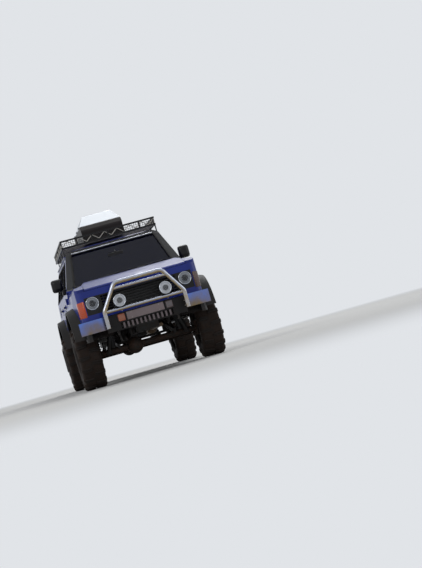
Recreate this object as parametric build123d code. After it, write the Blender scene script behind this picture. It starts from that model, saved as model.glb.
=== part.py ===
from build123d import *
import math
import os

os.makedirs("parts", exist_ok=True)

# All sizes are in millimetres, the ground is z = 0 and the vehicle faces -Y.

# Wheelbase and reaches
wheelbase = 2970
front_reach = 1030
rear_reach = 1280
front_axle_y = -(wheelbase + rear_reach - front_reach) / 2
rear_axle_y = front_axle_y + wheelbase
lamp_plane_y = front_axle_y - 700
nose_tip_y = front_axle_y - front_reach
tail_tip_y = rear_axle_y + rear_reach

# Wheels and tyres
tyre_radius = 437
tyre_width = 318
wheel_plane_x = 850
rim_radius = 200
rim_width = 212
rim_flange_height = 16
rim_flange_width = 8
rim_wall = 12
rim_disc_x = 22
rim_disc_thickness = 14
rim_window_radius = 27
rim_window_circle = 122
rim_window_count = 8
hub_cap_radius = 58
hub_cap_length = 62
spindle_radius = 40
spindle_fit = 0.4
tyre_sides = 24
tread_groove_depth = 17
lug_count = 16
lug_length = 54
lug_reach = 150

# Steering
kingpin_x = 720
kingpin_radius = 18
kingpin_fit = 0.3
boss_radius = 36
boss_half_height = 64
fork_gap = 7
fork_thickness = 28
fork_radius = 52
steering_arm_length = 185
tie_rod_radius = 10
ball_pin_radius = 9
tie_rod_eye_radius = 24
tie_rod_eye_height = 22
tie_rod_lift = 5
brake_radius = 138

# Body skin, written as half widths at heights
skin_section = [(852, 622), (886, 1020), (862, 1410), (704, 1962)]
roof_shoulder = (640, 2012)
roof_top_z = 2046
wall = 55
roof_wall = 42
shut_gap = 6
rest_gap = 0.3
arch_gap = 13
post_inset = wall + 9
post_depth = 42
shut_lean = 15
sill_top_z = 668
belt_z = 1440
door_top_z = 1935
roof_joint_z = 1952
b_line_y = front_axle_y + 1685
c_line_y = rear_axle_y - 326
front_shut_y = front_axle_y + 625
cowl_y = front_axle_y + 511
screen_foot = (cowl_y + 24, 1440)
screen_head = (front_axle_y + 1050, 1946)
tail_y = rear_axle_y + 902
corner_radius = 58
rear_frame_half_width = 716
door_hinge_x = 892
door_hinge_y = front_shut_y + 4
door_hinge_heights = (840, 1290)
tail_hinge_x = -712
tail_hinge_y = tail_y + 23
tail_hinge_heights = (900, 1180, 1420)
hinge_radius = 9
hinge_half = 25
hinge_eye = 20
handle_z = 1262
handle_length = 150
handle_setback = 62
glass_inset = 18
glass_thickness = 6
window_radius = 28

# Wheel arches
arch_radius = 515
arch_centre_z = 570
flare_reach_x = 988
flare_root = 78
flare_lip = 34
flare_wall = 16

# Bonnet and wings
clip_section = [(852, 622), (886, 1020), (868, 1300), (828, 1372), (716, 1392), (640, 1446)]
bonnet_crown_z = 1460
bonnet_front_z = 1330
bonnet_half_width = 700
bonnet_skin = 30
wing_skin = 26
nose_depth = 44
nose_top_z = 1296
nose_bottom_z = 900
nose_half_width = 838

# Lamps and grille
headlamp_x = 645
headlamp_z = 1115
headlamp_radius = 89
grille_half_width = 744
grille_bottom_z = 966
grille_top_z = 1206
grille_opening_x = 520
grille_bar_count = 6
corner_lamp_x = 766
corner_lamp_bottom_z = 950
corner_lamp_top_z = 1168
spot_lamp_x = 315
spot_lamp_z = 1046
spot_lamp_radius = 84

# Bumpers and bull bar
bumper_half_width = 900
bumper_bottom_z = 720
bumper_top_z = 893
bumper_face_y = lamp_plane_y - 118
bumper_corner_x = 552
bumper_recess = 22
bumper_wall = 14
valance_bottom_z = 668
slot_count = 13
slot_pitch = 58
slot_width = 26
slot_top_z = 762
bar_radius = 29
bar_foot_x = 545
bar_knee_z = 950
bar_top_x = 324
bar_top_z = 1318
low_bar_z = 936
mid_bar_z = 1213
cross_bar_radius = 20
bumper_lamp_inner_x = 284
bumper_lamp_size = 92
bumper_lamp_z = 784
bumper_lamp_depth = 14
plate_length = 520
plate_height = 110
plate_thickness = 6

# Ladder frame
rail_outer_x = 450
rail_width = 70
frame_end_gap = 92
rail_profile = [
    (bumper_face_y + bumper_recess + bumper_wall, 700), (bumper_face_y + bumper_recess + bumper_wall, 805),
    (front_axle_y - 630, 805), (front_axle_y - 340, 855), (front_axle_y + 280, 855), (front_axle_y + 480, 735),
    (rear_axle_y - 545, 735), (rear_axle_y - 400, 855), (rear_axle_y + 410, 855), (tail_y - frame_end_gap, 805),
    (tail_y - frame_end_gap, 700), (rear_axle_y + 410, 745), (rear_axle_y - 320, 745), (rear_axle_y - 470, 625),
    (front_axle_y + 550, 625), (front_axle_y + 330, 745), (front_axle_y - 340, 745),
]
transfer_y = front_axle_y + 970
spring_seat_z = 745
spring_x = 485
spring_radius = 58
axle_tube_radius = 44
front_diff_x = -180
diff_radius = 118

# Floor and roof carriers
floor_z = 748
floor_thickness = 12
load_floor_z = 872
tunnel_half_width = 225
tunnel_top_z = 930
tub_inner_x = 610
tub_wall = 8
rack_half_width = 720
rack_front_y = front_axle_y + 1180
rack_rear_y = tail_y - 302
rack_floor_z = roof_top_z + 42
rack_rail_z = rack_floor_z + 102
rack_tube = 24
rack_slat_count = 11
rack_post_count = 5
lace_pitch = 96
lace_width = 8
box_centre_x = -40
box_half_width = 312
box_floor_z = rack_floor_z + rack_tube / 2 - 4
box_wall = 12
box_split_z = rack_floor_z + 274
box_hinge_x = -364
box_front_y = rack_front_y + 280
box_hinge_places = (box_front_y + 210, box_front_y + 790, box_front_y + 1370)
box_eye_radius = 6

# Spare wheel
spare_x = 20
spare_z = 1272


def signed_area(points):
    """Area inside a closed outline, positive when it runs anticlockwise."""
    following = points[1:] + points[:1]
    return sum(a[0] * b[1] - b[0] * a[1] for a, b in zip(points, following)) / 2


def outline(points, radius=0):
    """Flat face inside a closed outline, each corner rounded by its own radius."""
    count = len(points)
    radii = radius if isinstance(radius, list) else [radius] * count
    if signed_area(points) < 0:
        points = points[::-1]
        radii = radii[::-1]
    joints = []
    for i in range(count):
        corner = Vector(*points[i])
        before = Vector(*points[i - 1]) - corner
        after = Vector(*points[(i + 1) % count]) - corner
        half_angle = math.radians(before.get_angle(after)) / 2
        if radii[i] <= 0 or math.cos(half_angle) < 1e-4:
            joints.append((corner, None, corner))
            continue
        reach = min(radii[i] / math.tan(half_angle), 0.48 * before.length, 0.48 * after.length)
        bend = reach * math.tan(half_angle)
        middle = (before.normalized() + after.normalized()).normalized()
        joints.append((
            corner + before.normalized() * reach,
            corner + middle * (bend / math.sin(half_angle) - bend),
            corner + after.normalized() * reach,
        ))
    edges = []
    for i in range(count):
        start, mid, end = joints[i]
        if mid is not None:
            edges.append(Edge.make_three_point_arc(start, mid, end))
        following = joints[(i + 1) % count][0]
        if (following - end).length > 1e-6:
            edges.append(Edge.make_line(end, following))
    return Face(Wire(edges))


def prism(axis, points, low, high, radius=0):
    """Outline given in the other two axes, pushed along one axis from low to high."""
    bases = {"x": Plane.YZ.offset(low), "y": Plane.XZ.offset(-high), "z": Plane.XY.offset(low)}
    return extrude(bases[axis] * outline(points, radius), high - low)


def block(x0, x1, y0, y1, z0, z1):
    """Box between two corners."""
    centre = ((x0 + x1) / 2, (y0 + y1) / 2, (z0 + z1) / 2)
    return Pos(*centre) * Box(x1 - x0, y1 - y0, z1 - z0)


def rod(start, end, radius):
    """Round bar between two points."""
    start = Vector(*start)
    end = Vector(*end)
    base = Plane(origin=start, z_dir=end - start)
    return base * Cylinder(radius, (end - start).length, align=(Align.CENTER, Align.CENTER, Align.MIN))


def disc(centre, radius, x0, x1):
    """Round bar along X, centred on (y, z)."""
    return rod((x0, centre[0], centre[1]), (x1, centre[0], centre[1]), radius)


def both_sides(shape):
    """A piece and its mirror image across the middle of the vehicle."""
    return [shape, mirror(shape, about=Plane.YZ)]


def fused(pieces):
    """One body of several pieces."""
    whole = pieces[0]
    for piece in pieces[1:]:
        whole = whole + piece
    return whole


def moved_edges(points, distances):
    """Closed outline with each edge moved outwards by its own distance."""
    count = len(points)
    turn = 1 if signed_area(points) > 0 else -1
    lines = []
    for i in range(count):
        (x0, y0), (x1, y1) = points[i], points[(i + 1) % count]
        length = math.hypot(x1 - x0, y1 - y0)
        along = ((x1 - x0) / length, (y1 - y0) / length)
        out = (along[1] * turn, -along[0] * turn)
        lines.append(((x0 + out[0] * distances[i], y0 + out[1] * distances[i]), along))
    corners = []
    for i in range(count):
        (p, a), (q, b) = lines[i - 1], lines[i]
        cross = a[0] * b[1] - a[1] * b[0]
        step = ((q[0] - p[0]) * b[1] - (q[1] - p[1]) * b[0]) / cross
        corners.append((p[0] + a[0] * step, p[1] + a[1] * step))
    return corners


def half_width(z):
    """Half width of the body's skin at a height."""
    for (x0, z0), (x1, z1) in zip(skin_section, skin_section[1:]):
        if z <= z1:
            return x0 + (x1 - x0) * (z - z0) / (z1 - z0)
    return skin_section[-1][0]


def save(shape, name):
    """Writes one piece."""
    export_step(shape, f"parts/{name}.step")


# Body envelope
def cabin_envelope(inset, front=None, roof=None, screen=None):
    """Solid that the cabin's skin closes off, with its walls moved in."""
    front = inset if front is None else front
    roof = inset if roof is None else roof
    screen = inset if screen is None else screen
    drop = roof * 0.9
    side = [(x - inset, z) for x, z in skin_section[:-1]]
    side += [(half_width(skin_section[-1][1] - drop) - inset, skin_section[-1][1] - drop)]
    side += [(roof_shoulder[0] - inset * 0.8, roof_shoulder[1] - roof * 0.9)]
    side += [(0, roof_top_z - roof)]
    section = side + [(-x, z) for x, z in reversed(side[:-1])]
    radii = [0, 380, 60, 26, 120, 0, 120, 26, 60, 380, 0]
    foot_z = skin_section[0][1]
    profile = [
        (cowl_y + front, foot_z),
        (cowl_y + front, screen_foot[1] - 16 - roof * 0.4),
        (screen_foot[0] + screen * 1.2, screen_foot[1] - screen * 0.2),
        (screen_head[0] + screen * 1.2, screen_head[1] - screen * 0.2),
        (screen_head[0] + 100, roof_top_z - 16 - roof),
        (400, roof_top_z - roof),
        (tail_y - 330, roof_top_z - 12 - roof),
        (tail_y - 124 - inset, 1988 - roof * 0.6),
        (tail_y - inset, 1480),
        (tail_y - inset, foot_z),
    ]
    profile_radii = [0, 8, 20, 90, 300, 2500, 260, 60, 200, 0]
    width = skin_section[1][0] + 10
    body = prism("y", section, cowl_y - 10, tail_y + 20, radii)
    return body & prism("x", profile, -width, width, profile_radii)


def clip_envelope(inset, top=None):
    """Solid that the bonnet, wings and nose close off, with its walls moved in."""
    top = inset if top is None else top
    side = [(x - inset, z - (top if z > 1310 else 0)) for x, z in clip_section]
    section = side + [(0, bonnet_crown_z - top)]
    section += [(-x, z) for x, z in reversed(side)]
    radii = [0, 380, 50, 26, 30, 30, 0, 30, 30, 26, 50, 380, 0]
    nose_y = lamp_plane_y + inset
    profile = [
        (nose_y, clip_section[0][1]),
        (nose_y, bonnet_front_z - 24 - top),
        (nose_y + 26, bonnet_front_z - top),
        (nose_y + 420, bonnet_crown_z - 22 - top),
        (cowl_y - 420, bonnet_crown_z - top),
        (front_shut_y, bonnet_crown_z + 2 - top),
        (front_shut_y, clip_section[0][1]),
    ]
    profile_radii = [0, 12, 30, 700, 2500, 0, 0]
    wide = skin_section[1][0] + 4 - inset
    nose_x = nose_half_width - 66 - inset
    plan = [
        (wide, front_shut_y), (wide, front_axle_y - 60), (nose_half_width - inset, nose_y + 84),
        (nose_x, nose_y), (-nose_x, nose_y), (inset - nose_half_width, nose_y + 84),
        (-wide, front_axle_y - 60), (-wide, front_shut_y),
    ]
    plan_radii = [0, 1200, 60, 60, 60, 60, 1200, 0]
    body = prism("y", section, lamp_plane_y - 10, front_shut_y, radii)
    body = body & prism("x", profile, -920, 920, profile_radii)
    return body & prism("z", plan, 600, 1500, plan_radii)


def ahead_of(edge_y):
    """Space ahead of a door's rear edge, whose shut face leans forward towards the cabin."""
    lean = math.tan(math.radians(shut_lean))
    faces = []
    for z in (560, skin_section[1][1], skin_section[2][1], skin_section[3][1] + 60):
        middle_x = half_width(min(z, skin_section[3][1]))
        corners = [(400, -1500), (1000, -1500)]
        corners += [(1000, edge_y + (1000 - middle_x) * lean), (400, edge_y + (400 - middle_x) * lean)]
        faces.append(Plane.XY.offset(z) * outline(corners))
    return loft(faces, ruled=True)


def rounded_tail():
    """Space inside the rounded rear corners, which lean in with the skin."""
    faces = []
    for z, half, rear in (
        (560, skin_section[0][0] + 2, tail_y + 1), (skin_section[1][1], skin_section[1][0] + 2, tail_y + 1),
        (1445, half_width(1445) + 2, tail_y + 1), (1988, half_width(1988) + 2, tail_y - 123),
        (2100, half_width(2100) + 2, tail_y - 150),
    ):
        corners = [(-half, cowl_y - 60), (half, cowl_y - 60), (half, rear), (-half, rear)]
        faces.append(Plane.XY.offset(z) * outline(corners, [0, 0, corner_radius, corner_radius]))
    return loft(faces, ruled=True)


cabin_outer = cabin_envelope(0) & rounded_tail()
cabin_inner = cabin_envelope(wall, front=wall, roof=roof_wall, screen=44)
cabin_shell = cabin_outer - cabin_inner
clip_outer = clip_envelope(0)
clip_shell = clip_outer - clip_envelope(nose_depth, top=nose_depth)

# Door and window outlines in side view
front_door_outline = [
    (front_shut_y, sill_top_z), (front_shut_y, 1425), (front_shut_y + 523, door_top_z),
    (b_line_y + 300, door_top_z), (b_line_y + 300, sill_top_z),
]
front_door_radii = [40, 90, 40, 0, 0]
rear_door_outline = [
    (b_line_y - 300, sill_top_z), (b_line_y - 300, door_top_z), (c_line_y + 20, door_top_z),
    (c_line_y + 20, 1098), (932, 1012), (800, 850), (752, sill_top_z),
]
rear_door_radii = [0, 0, 30, 60, 60, 60, 20]
rear_opening_gaps = [shut_gap, shut_gap, shut_gap, arch_gap, arch_gap, arch_gap, shut_gap]
front_window = [
    (front_shut_y + 95, belt_z), (front_shut_y + 551, 1885), (b_line_y - 66, 1885), (b_line_y - 58, belt_z),
]
rear_window = [
    (b_line_y + 62, belt_z), (b_line_y + 60, 1885), (c_line_y - 78, 1885), (c_line_y - 60, belt_z),
]
quarter_window = [
    (c_line_y + 70, belt_z), (c_line_y + 52, 1885), (tail_y - 262, 1885), (tail_y - 168, belt_z),
]


def window_hole(window):
    """Window opening through the left side of the body."""
    return prism("x", window, 400, 1000, window_radius)


def side_glass(window):
    """Pane that fills a window opening in the left side of the body."""
    pane = cabin_envelope(glass_inset) - cabin_envelope(glass_inset + glass_thickness)
    return pane & window_hole(window)


left_half = block(0, 1000, cowl_y - 50, tail_y + 60, 500, 2100)
front_hole = prism("x", moved_edges(front_door_outline, [shut_gap] * 5), 400, 1000,
                   [r + shut_gap if r else 0 for r in front_door_radii])
rear_hole = prism("x", moved_edges(rear_door_outline, rear_opening_gaps), 400, 1000,
                  [r + shut_gap if r else 0 for r in rear_door_radii])
rear_limit = ahead_of(c_line_y + shut_gap) - ahead_of(b_line_y - 200)
front_limit = ahead_of(b_line_y + 100)
door_hole = (front_hole & front_limit) + (rear_hole & rear_limit)

# Side doors
front_door = cabin_shell & prism("x", front_door_outline, 400, 1000, front_door_radii)
front_door = front_door & ahead_of(b_line_y - shut_gap / 2)
front_door = front_door - window_hole(front_window)
rear_door_side = cabin_shell & prism("x", rear_door_outline, 400, 1000, rear_door_radii)
rear_door_side = rear_door_side & ahead_of(c_line_y)
rear_door_side = rear_door_side - ahead_of(b_line_y + shut_gap / 2)
rear_door_side = rear_door_side - window_hole(rear_window)


def handle(rear_edge_y):
    """Pull handle on a left door's skin, with its two feet."""
    skin = half_width(handle_z)
    y = rear_edge_y - handle_setback - handle_length
    grip = block(skin + 14, skin + 26, y, y + handle_length, handle_z - 14, handle_z + 14)
    grip = fillet(grip.edges().filter_by(Axis.Y), 5)
    feet = block(skin - 8, skin + 16, y, y + 22, handle_z - 12, handle_z + 12)
    feet = feet + block(skin - 8, skin + 16, y + handle_length - 34, y + handle_length, handle_z - 12, handle_z + 12)
    return grip + feet


def eye_spans(middle_z):
    """Heights of the two fixed eyes above and below a hinge's moving eye."""
    near = hinge_half + rest_gap
    return ((middle_z - near - hinge_eye, middle_z - near), (middle_z + near, middle_z + near + hinge_eye))


def upright_eye(x, y, low, high):
    """Round eye of an upright hinge."""
    return rod((x, y, low), (x, y, high), hinge_radius)


def door_hinge_eyes():
    """Moving eyes of the front left door, each with its leaf on the skin."""
    eyes = []
    for z in door_hinge_heights:
        skin = half_width(z)
        eyes.append(upright_eye(door_hinge_x, door_hinge_y, z - hinge_half, z + hinge_half))
        eyes.append(block(skin - 8, door_hinge_x - 2, door_hinge_y + 3, door_hinge_y + 34, z - hinge_half, z + hinge_half))
    return fused(eyes)


def wing_hinge_eyes():
    """Fixed eyes ahead of the front left door, with their leaves seated on the wing."""
    eyes = []
    for z in door_hinge_heights:
        skin = half_width(z)
        leaf_half = hinge_half + rest_gap + hinge_eye
        eyes.append(block(skin - 8, skin + 14, door_hinge_y - 36, door_hinge_y - 12, z - leaf_half, z + leaf_half))
        for low, high in eye_spans(z):
            eyes.append(upright_eye(door_hinge_x, door_hinge_y, low, high))
            eyes.append(block(door_hinge_x - 12, door_hinge_x, door_hinge_y - 36, door_hinge_y, low, high))
    return eyes


front_door = front_door + door_hinge_eyes() + handle(b_line_y)
rear_door_side = rear_door_side + handle(c_line_y)
for name, door in (("front", front_door), ("rear", rear_door_side)):
    for side, piece in zip(("left", "right"), both_sides(door)):
        save(piece, f"{name}_door_{side}")
for name, window in (("front", front_window), ("rear", rear_window)):
    for side, piece in zip(("left", "right"), both_sides(side_glass(window))):
        save(piece, f"{name}_glass_{side}")

# Body sides with the hinge pillar, middle post, cant rail and rear quarter
tail_lamp_zone = block(752, 1000, tail_y - 60, tail_y + 40, 1000, 1310)
rear_frame_zone = block(-rear_frame_half_width, rear_frame_half_width, tail_y - 250, tail_y + 40, 500, 2100)
cowl_zone = block(-770, 770, cowl_y - 20, screen_foot[0] + 80, 500, screen_foot[1] + 4)
post_inner = cabin_envelope(post_inset + post_depth, front=120, roof=roof_wall + 18, screen=60)
post_ring = cabin_envelope(post_inset, front=120, roof=roof_wall + 9) - post_inner
middle_post = post_ring & block(500, 1000, b_line_y - 62, b_line_y + 46, sill_top_z - 20, roof_joint_z)
cant_rail = post_ring & block(500, 1000, screen_head[0] + 130, tail_y - 260, door_top_z - 44, roof_joint_z)
cant_bridge = cabin_envelope(20) - post_inner
cant_bridge = cant_bridge & block(500, 1000, screen_head[0] + 130, tail_y - 260, door_top_z + shut_gap, roof_joint_z)
sill_box = block(700, 846, front_shut_y - 60, rear_axle_y - 560, skin_section[0][1], sill_top_z - shut_gap)
sill_box = sill_box & cabin_outer
windscreen_direction = Vector(0, screen_head[0] - screen_foot[0], screen_head[1] - screen_foot[1])
windscreen_plane = Plane(
    origin=(0, screen_foot[0], screen_foot[1]), x_dir=(1, 0, 0),
    z_dir=Vector(1, 0, 0).cross(windscreen_direction),
)
screen_length = windscreen_direction.length
screen_outline = [(-736, 12), (-628, screen_length + 30), (628, screen_length + 30), (736, 12)]
screen_face = outline(screen_outline, [40, 0, 0, 40])
screen_hole = extrude(windscreen_plane * screen_face, 90, both=True)

front_stop = cabin_envelope(wall + rest_gap) - cabin_envelope(post_inset + 4)
front_stop = front_stop & block(500, 1000, b_line_y - 58, b_line_y - 36, 990, 1050)
striker = cabin_envelope(wall + rest_gap) - cabin_envelope(wall + 26)
striker = striker & block(500, 1000, c_line_y - 34, c_line_y + 12, 1180, 1240)
striker_foot = cabin_envelope(wall - 5) - cabin_envelope(wall + 26)
striker_foot = striker_foot & block(500, 1000, c_line_y + 8, c_line_y + 40, 1180, 1240)
body_side = cabin_shell & left_half
body_side = body_side - door_hole
body_side = body_side + middle_post + cant_rail + cant_bridge + sill_box + front_stop + striker + striker_foot
body_side = body_side - window_hole(quarter_window)
body_side = body_side - block(-10, 1000, cowl_y - 50, tail_y + 60, roof_joint_z, 2100)
body_side = body_side - rear_frame_zone - tail_lamp_zone - cowl_zone - screen_hole
body_side = body_side - block(-10, 560, cowl_y, 0, 1800, 2100)
wing_cover = clip_outer - clip_envelope(wing_skin)
body_side = body_side - block(-10, 1000, cowl_y - 20, front_shut_y, 500, 1404) - block(
    -10, 760, cowl_y - 20, screen_foot[0] + 40, 500, 1500)
hinge_pillar = block(700, 1000, cowl_y + 2, front_shut_y - shut_gap, sill_top_z - 20, 1404)
hinge_pillar = (hinge_pillar & cabin_envelope(wing_skin, front=0)) - cabin_envelope(wall + 20, front=0)
sill_end = block(700, 846, cowl_y + 2, front_shut_y, skin_section[0][1], sill_top_z - shut_gap)
sill_end = sill_end & cabin_envelope(wing_skin, front=0)
body_side = body_side + hinge_pillar + sill_end
rear_arch = disc((rear_axle_y, arch_centre_z), arch_radius, 560, 1000)
body_side = body_side - rear_arch
for side, piece in zip(("left", "right"), both_sides(body_side)):
    save(piece, f"body_side_{side}")

# Roof with its gutters
roof = cabin_shell & block(-1000, 1000, cowl_y, tail_y + 60, roof_joint_z, 2100)
gutter = block(696, 724, screen_head[0] + 120, tail_y - 190, roof_joint_z, roof_joint_z + 9)
gutter = gutter - cabin_envelope(6)
roof = fused([roof] + both_sides(gutter)) - screen_hole
save(roof, "roof")

# Rear opening frame and rear door
rear_door_points = [(-690, 806), (-690, 1390), (-604, 1898), (604, 1898), (690, 1390), (690, 806)]


def rear_plug(growth):
    """Tapered plug that the rear door fills in the tail of the body."""
    lean = math.tan(math.radians(shut_lean))
    faces = []
    for y, taper in ((tail_y + 60, 60 * lean), (tail_y - 260, -260 * lean)):
        faces.append(Plane.XZ.offset(-y) * outline(moved_edges(rear_door_points, [growth + taper] * 6)))
    return loft(faces, ruled=True)


rear_frame = cabin_shell & rear_frame_zone
rear_frame = rear_frame - rear_plug(shut_gap)
rear_frame = rear_frame - block(-1000, 1000, 0, tail_y + 60, roof_joint_z, 2100)
rear_frame = rear_frame - block(-1000, 1000, 0, tail_y + 60, 500, 704)
for near, far, face_gap in ((664, 685, rest_gap), (684, 714, -10)):
    rear_frame = rear_frame + block(near, far, tail_y - wall - 26, tail_y - wall - face_gap, 1000, 1090)
for z in tail_hinge_heights:
    for low, high in eye_spans(z):
        rear_frame = rear_frame + upright_eye(tail_hinge_x, tail_hinge_y, low, high)
        rear_frame = rear_frame + block(tail_hinge_x - 4, tail_hinge_x + 8, tail_y - 6, tail_hinge_y, low, high)
save(rear_frame, "rear_frame")
rear_window_hole = prism("y", [(-560, 1440), (-506, 1850), (506, 1850), (560, 1440)], tail_y - 300, tail_y + 40, 40)
rear_door = cabin_shell & block(-1000, 1000, tail_y - 258, tail_y + 40, 600, 2000) & rear_plug(0)
rear_door = rear_door - rear_window_hole
carrier = rod((spare_x, tail_y - 8, spare_z), (spare_x, tail_tip_y - tyre_width / 2 + rim_disc_x - 30, spare_z), 70)
carrier_stud = rod((spare_x, tail_y, spare_z), (spare_x, tail_tip_y - tyre_width / 2 + rim_disc_x + 16, spare_z),
                   spindle_radius)
for z in tail_hinge_heights:
    rear_door = rear_door + upright_eye(tail_hinge_x, tail_hinge_y, z - hinge_half, z + hinge_half)
    low, high = z - hinge_half, z + hinge_half
    rear_door = rear_door + block(tail_hinge_x, tail_hinge_x + 104, tail_y + 9, tail_hinge_y - 6, low, high)
    rear_door = rear_door + block(tail_hinge_x + 44, tail_hinge_x + 104, tail_y - 6, tail_hinge_y - 6, low, high)
save(rear_door + (carrier - cabin_inner) + carrier_stud, "rear_door")
rear_pane = cabin_envelope(glass_inset) - cabin_envelope(glass_inset + glass_thickness)
save(rear_pane & rear_window_hole, "rear_door_glass")
tail_lamps = both_sides(cabin_shell & tail_lamp_zone)
save(Compound(tail_lamps), "tail_lamps")

# Windscreen and quarter windows
screen_pane = extrude(windscreen_plane.offset(-glass_inset) * screen_face, -glass_thickness)
screen_pane = screen_pane & block(-1000, 1000, cowl_y, 0, screen_foot[1] + 4, roof_joint_z)
screen_pane = screen_pane & cabin_envelope(2)
save(Compound([screen_pane] + both_sides(side_glass(quarter_window))), "fixed_glass")

# Floor, firewall, cowl and rear wheel tubs
floor = block(-790, 790, cowl_y + 4, rear_axle_y - 548, floor_z, floor_z + floor_thickness)
load_floor = block(-790, 790, rear_axle_y - 548 + rest_gap, tail_y - 62, load_floor_z,
                   load_floor_z + floor_thickness)
floor_step = block(-790, 790, rear_axle_y - 560, rear_axle_y - 548, floor_z, load_floor_z + floor_thickness)
firewall = block(-790, 790, cowl_y + 4, cowl_y + 18, floor_z, 1404)
tunnel_block = block(-tunnel_half_width, tunnel_half_width, cowl_y + 4, transfer_y + 310, floor_z, tunnel_top_z)
tunnel_space = block(-tunnel_half_width + floor_thickness, tunnel_half_width - floor_thickness,
                     cowl_y - 10, transfer_y + 310 - floor_thickness, floor_z - 10, tunnel_top_z - floor_thickness)
tub_keep = block(tub_inner_x - 1, 1000, rear_axle_y - 700, rear_axle_y + 700, load_floor_z - 40, 1300)


def tub_solid(growth):
    """Filled wheel tub of the left side, with its skin moved out."""
    return disc((rear_axle_y, arch_centre_z), arch_radius + 12 + growth, tub_inner_x + tub_wall - growth, 1000)


cowl_panel = cabin_shell & cowl_zone
cowl_panel = cowl_panel & block(-770, 770, cowl_y - 20, screen_foot[0] + 80, 1300, 1500)
cowl_panel = cowl_panel & (cabin_outer - cabin_envelope(0, front=34, roof=34, screen=34))
floor_room = cabin_envelope(wall, front=0, roof=0, screen=0)
floor_pan = floor + floor_step + firewall + tunnel_block + cowl_panel - tunnel_space
wheel_tub = (tub_solid(tub_wall) - tub_solid(0)) & tub_keep
for grown_tub in both_sides(tub_solid(tub_wall + rest_gap)):
    load_floor = load_floor - grown_tub
floor_pieces = []
for shape in [floor_pan, load_floor] + both_sides(wheel_tub):
    shape = shape & floor_room
    for piece in both_sides(body_side):
        shape = shape - piece
    floor_pieces.append(shape)
save(floor_pieces[0], "floor_pan")
save(Compound(floor_pieces[1:]), "load_floor")

# Wings with their arch liners
wing = clip_outer - clip_envelope(wing_skin, top=wing_skin)
wing = wing & block(bonnet_half_width + shut_gap, 1000, lamp_plane_y + nose_depth, front_shut_y - shut_gap, 600, 1500)
wing = wing - block(600, 1000, cowl_y - 4, front_shut_y + 1, 1400, 1500)
front_arch = disc((front_axle_y, arch_centre_z), arch_radius, 400, 1000)
wing_well = disc((front_axle_y, arch_centre_z), arch_radius + 16, 470, 846)
liner = disc((front_axle_y, arch_centre_z), arch_radius + 24, 470, 850) - disc(
    (front_axle_y, arch_centre_z), arch_radius + 16, 400, 1000)
liner = liner & block(470, 1000, front_axle_y - 700, cowl_y - 8, 640, 1300)
inner_wall = block(470, 482, lamp_plane_y + 90, cowl_y - 8, 862, 1290)
inner_shelf = block(470, 730, lamp_plane_y + 90, cowl_y - 8, 1282, 1290)
inner_riser = block(bonnet_half_width + shut_gap, 730, lamp_plane_y + 90, cowl_y - 8, 1282, 1370)
wing = wing - front_arch
wing = wing + liner + inner_wall + inner_shelf + inner_riser
wing = wing & clip_outer
wing = wing - (block(0, 1000, cowl_y - 4, 0, 0, 2000) & cabin_envelope(wing_skin, front=-4))
wing = fused([wing] + wing_hinge_eyes())
save(Compound(both_sides(wing)), "front_wings")

# Nose panel, corner lamps, grille and headlamps
nose = clip_shell & block(-1000, 1000, lamp_plane_y - 20, lamp_plane_y + nose_depth, nose_bottom_z, nose_top_z)
corner_zone = block(corner_lamp_x, 1000, lamp_plane_y - 20, lamp_plane_y + nose_depth, corner_lamp_bottom_z,
                    corner_lamp_top_z)
corner_lamps = both_sides(clip_shell & corner_zone)
for side in (-1, 1):
    inner, outer = sorted((side * bumper_lamp_inner_x, side * (bumper_lamp_inner_x + bumper_lamp_size)))
    corner_lamps.append(prism(
        "y", [(inner, bumper_lamp_z), (outer, bumper_lamp_z), (outer, bumper_lamp_z + bumper_lamp_size),
              (inner, bumper_lamp_z + bumper_lamp_size)],
        bumper_face_y + bumper_recess - bumper_lamp_depth, bumper_face_y + bumper_recess, 12))
save(Compound(corner_lamps), "corner_lamps")
grille_zone = block(-grille_half_width, grille_half_width, lamp_plane_y - 20, lamp_plane_y + nose_depth + 5,
                    grille_bottom_z, grille_top_z)
nose = nose - grille_zone
for zone in both_sides(corner_zone):
    nose = nose - zone
for side in (-1, 1):
    nose = nose + block(side * 580 - 18, side * 580 + 18, lamp_plane_y + 6, lamp_plane_y + 24, nose_top_z - 6,
                        nose_top_z + shut_gap - rest_gap)
save(nose, "nose_panel")
grille = block(-grille_half_width, grille_half_width, lamp_plane_y + 8, lamp_plane_y + 36, grille_bottom_z,
               grille_top_z)
bar_pitch = (grille_top_z - grille_bottom_z - 20) / grille_bar_count
for row in range(grille_bar_count):
    low = grille_bottom_z + 16 + row * bar_pitch
    grille = grille - block(-grille_opening_x, grille_opening_x, lamp_plane_y, lamp_plane_y + 60, low,
                            low + bar_pitch - 15)
for lamp_x in (-headlamp_x, headlamp_x):
    grille = grille - rod((lamp_x, lamp_plane_y - 20, headlamp_z), (lamp_x, lamp_plane_y + 80, headlamp_z),
                          headlamp_radius)
save(grille, "grille")


def lamp(centre_x, centre_z, radius, face_y, depth, bulge):
    """Round lamp with a domed lens, its bowl behind it."""
    bowl = rod((centre_x, face_y + bulge, centre_z), (centre_x, face_y + depth, centre_z), radius)
    ball_radius = (radius * radius + bulge * bulge) / (2 * bulge)
    lens = Pos(centre_x, face_y + ball_radius, centre_z) * Sphere(ball_radius)
    lens = lens & rod((centre_x, face_y - 1, centre_z), (centre_x, face_y + bulge, centre_z), radius)
    return bowl + lens


headlamps = [lamp(x, headlamp_z, headlamp_radius, lamp_plane_y - 6, 90, 16) for x in (-headlamp_x, headlamp_x)]
save(Compound(headlamps), "headlamps")

# Bonnet
bonnet = clip_outer - clip_envelope(bonnet_skin, top=bonnet_skin)
bonnet = bonnet & block(-bonnet_half_width, bonnet_half_width, lamp_plane_y - 20, cowl_y - 12, nose_top_z + shut_gap,
                        1500)
save(bonnet, "bonnet")


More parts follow.
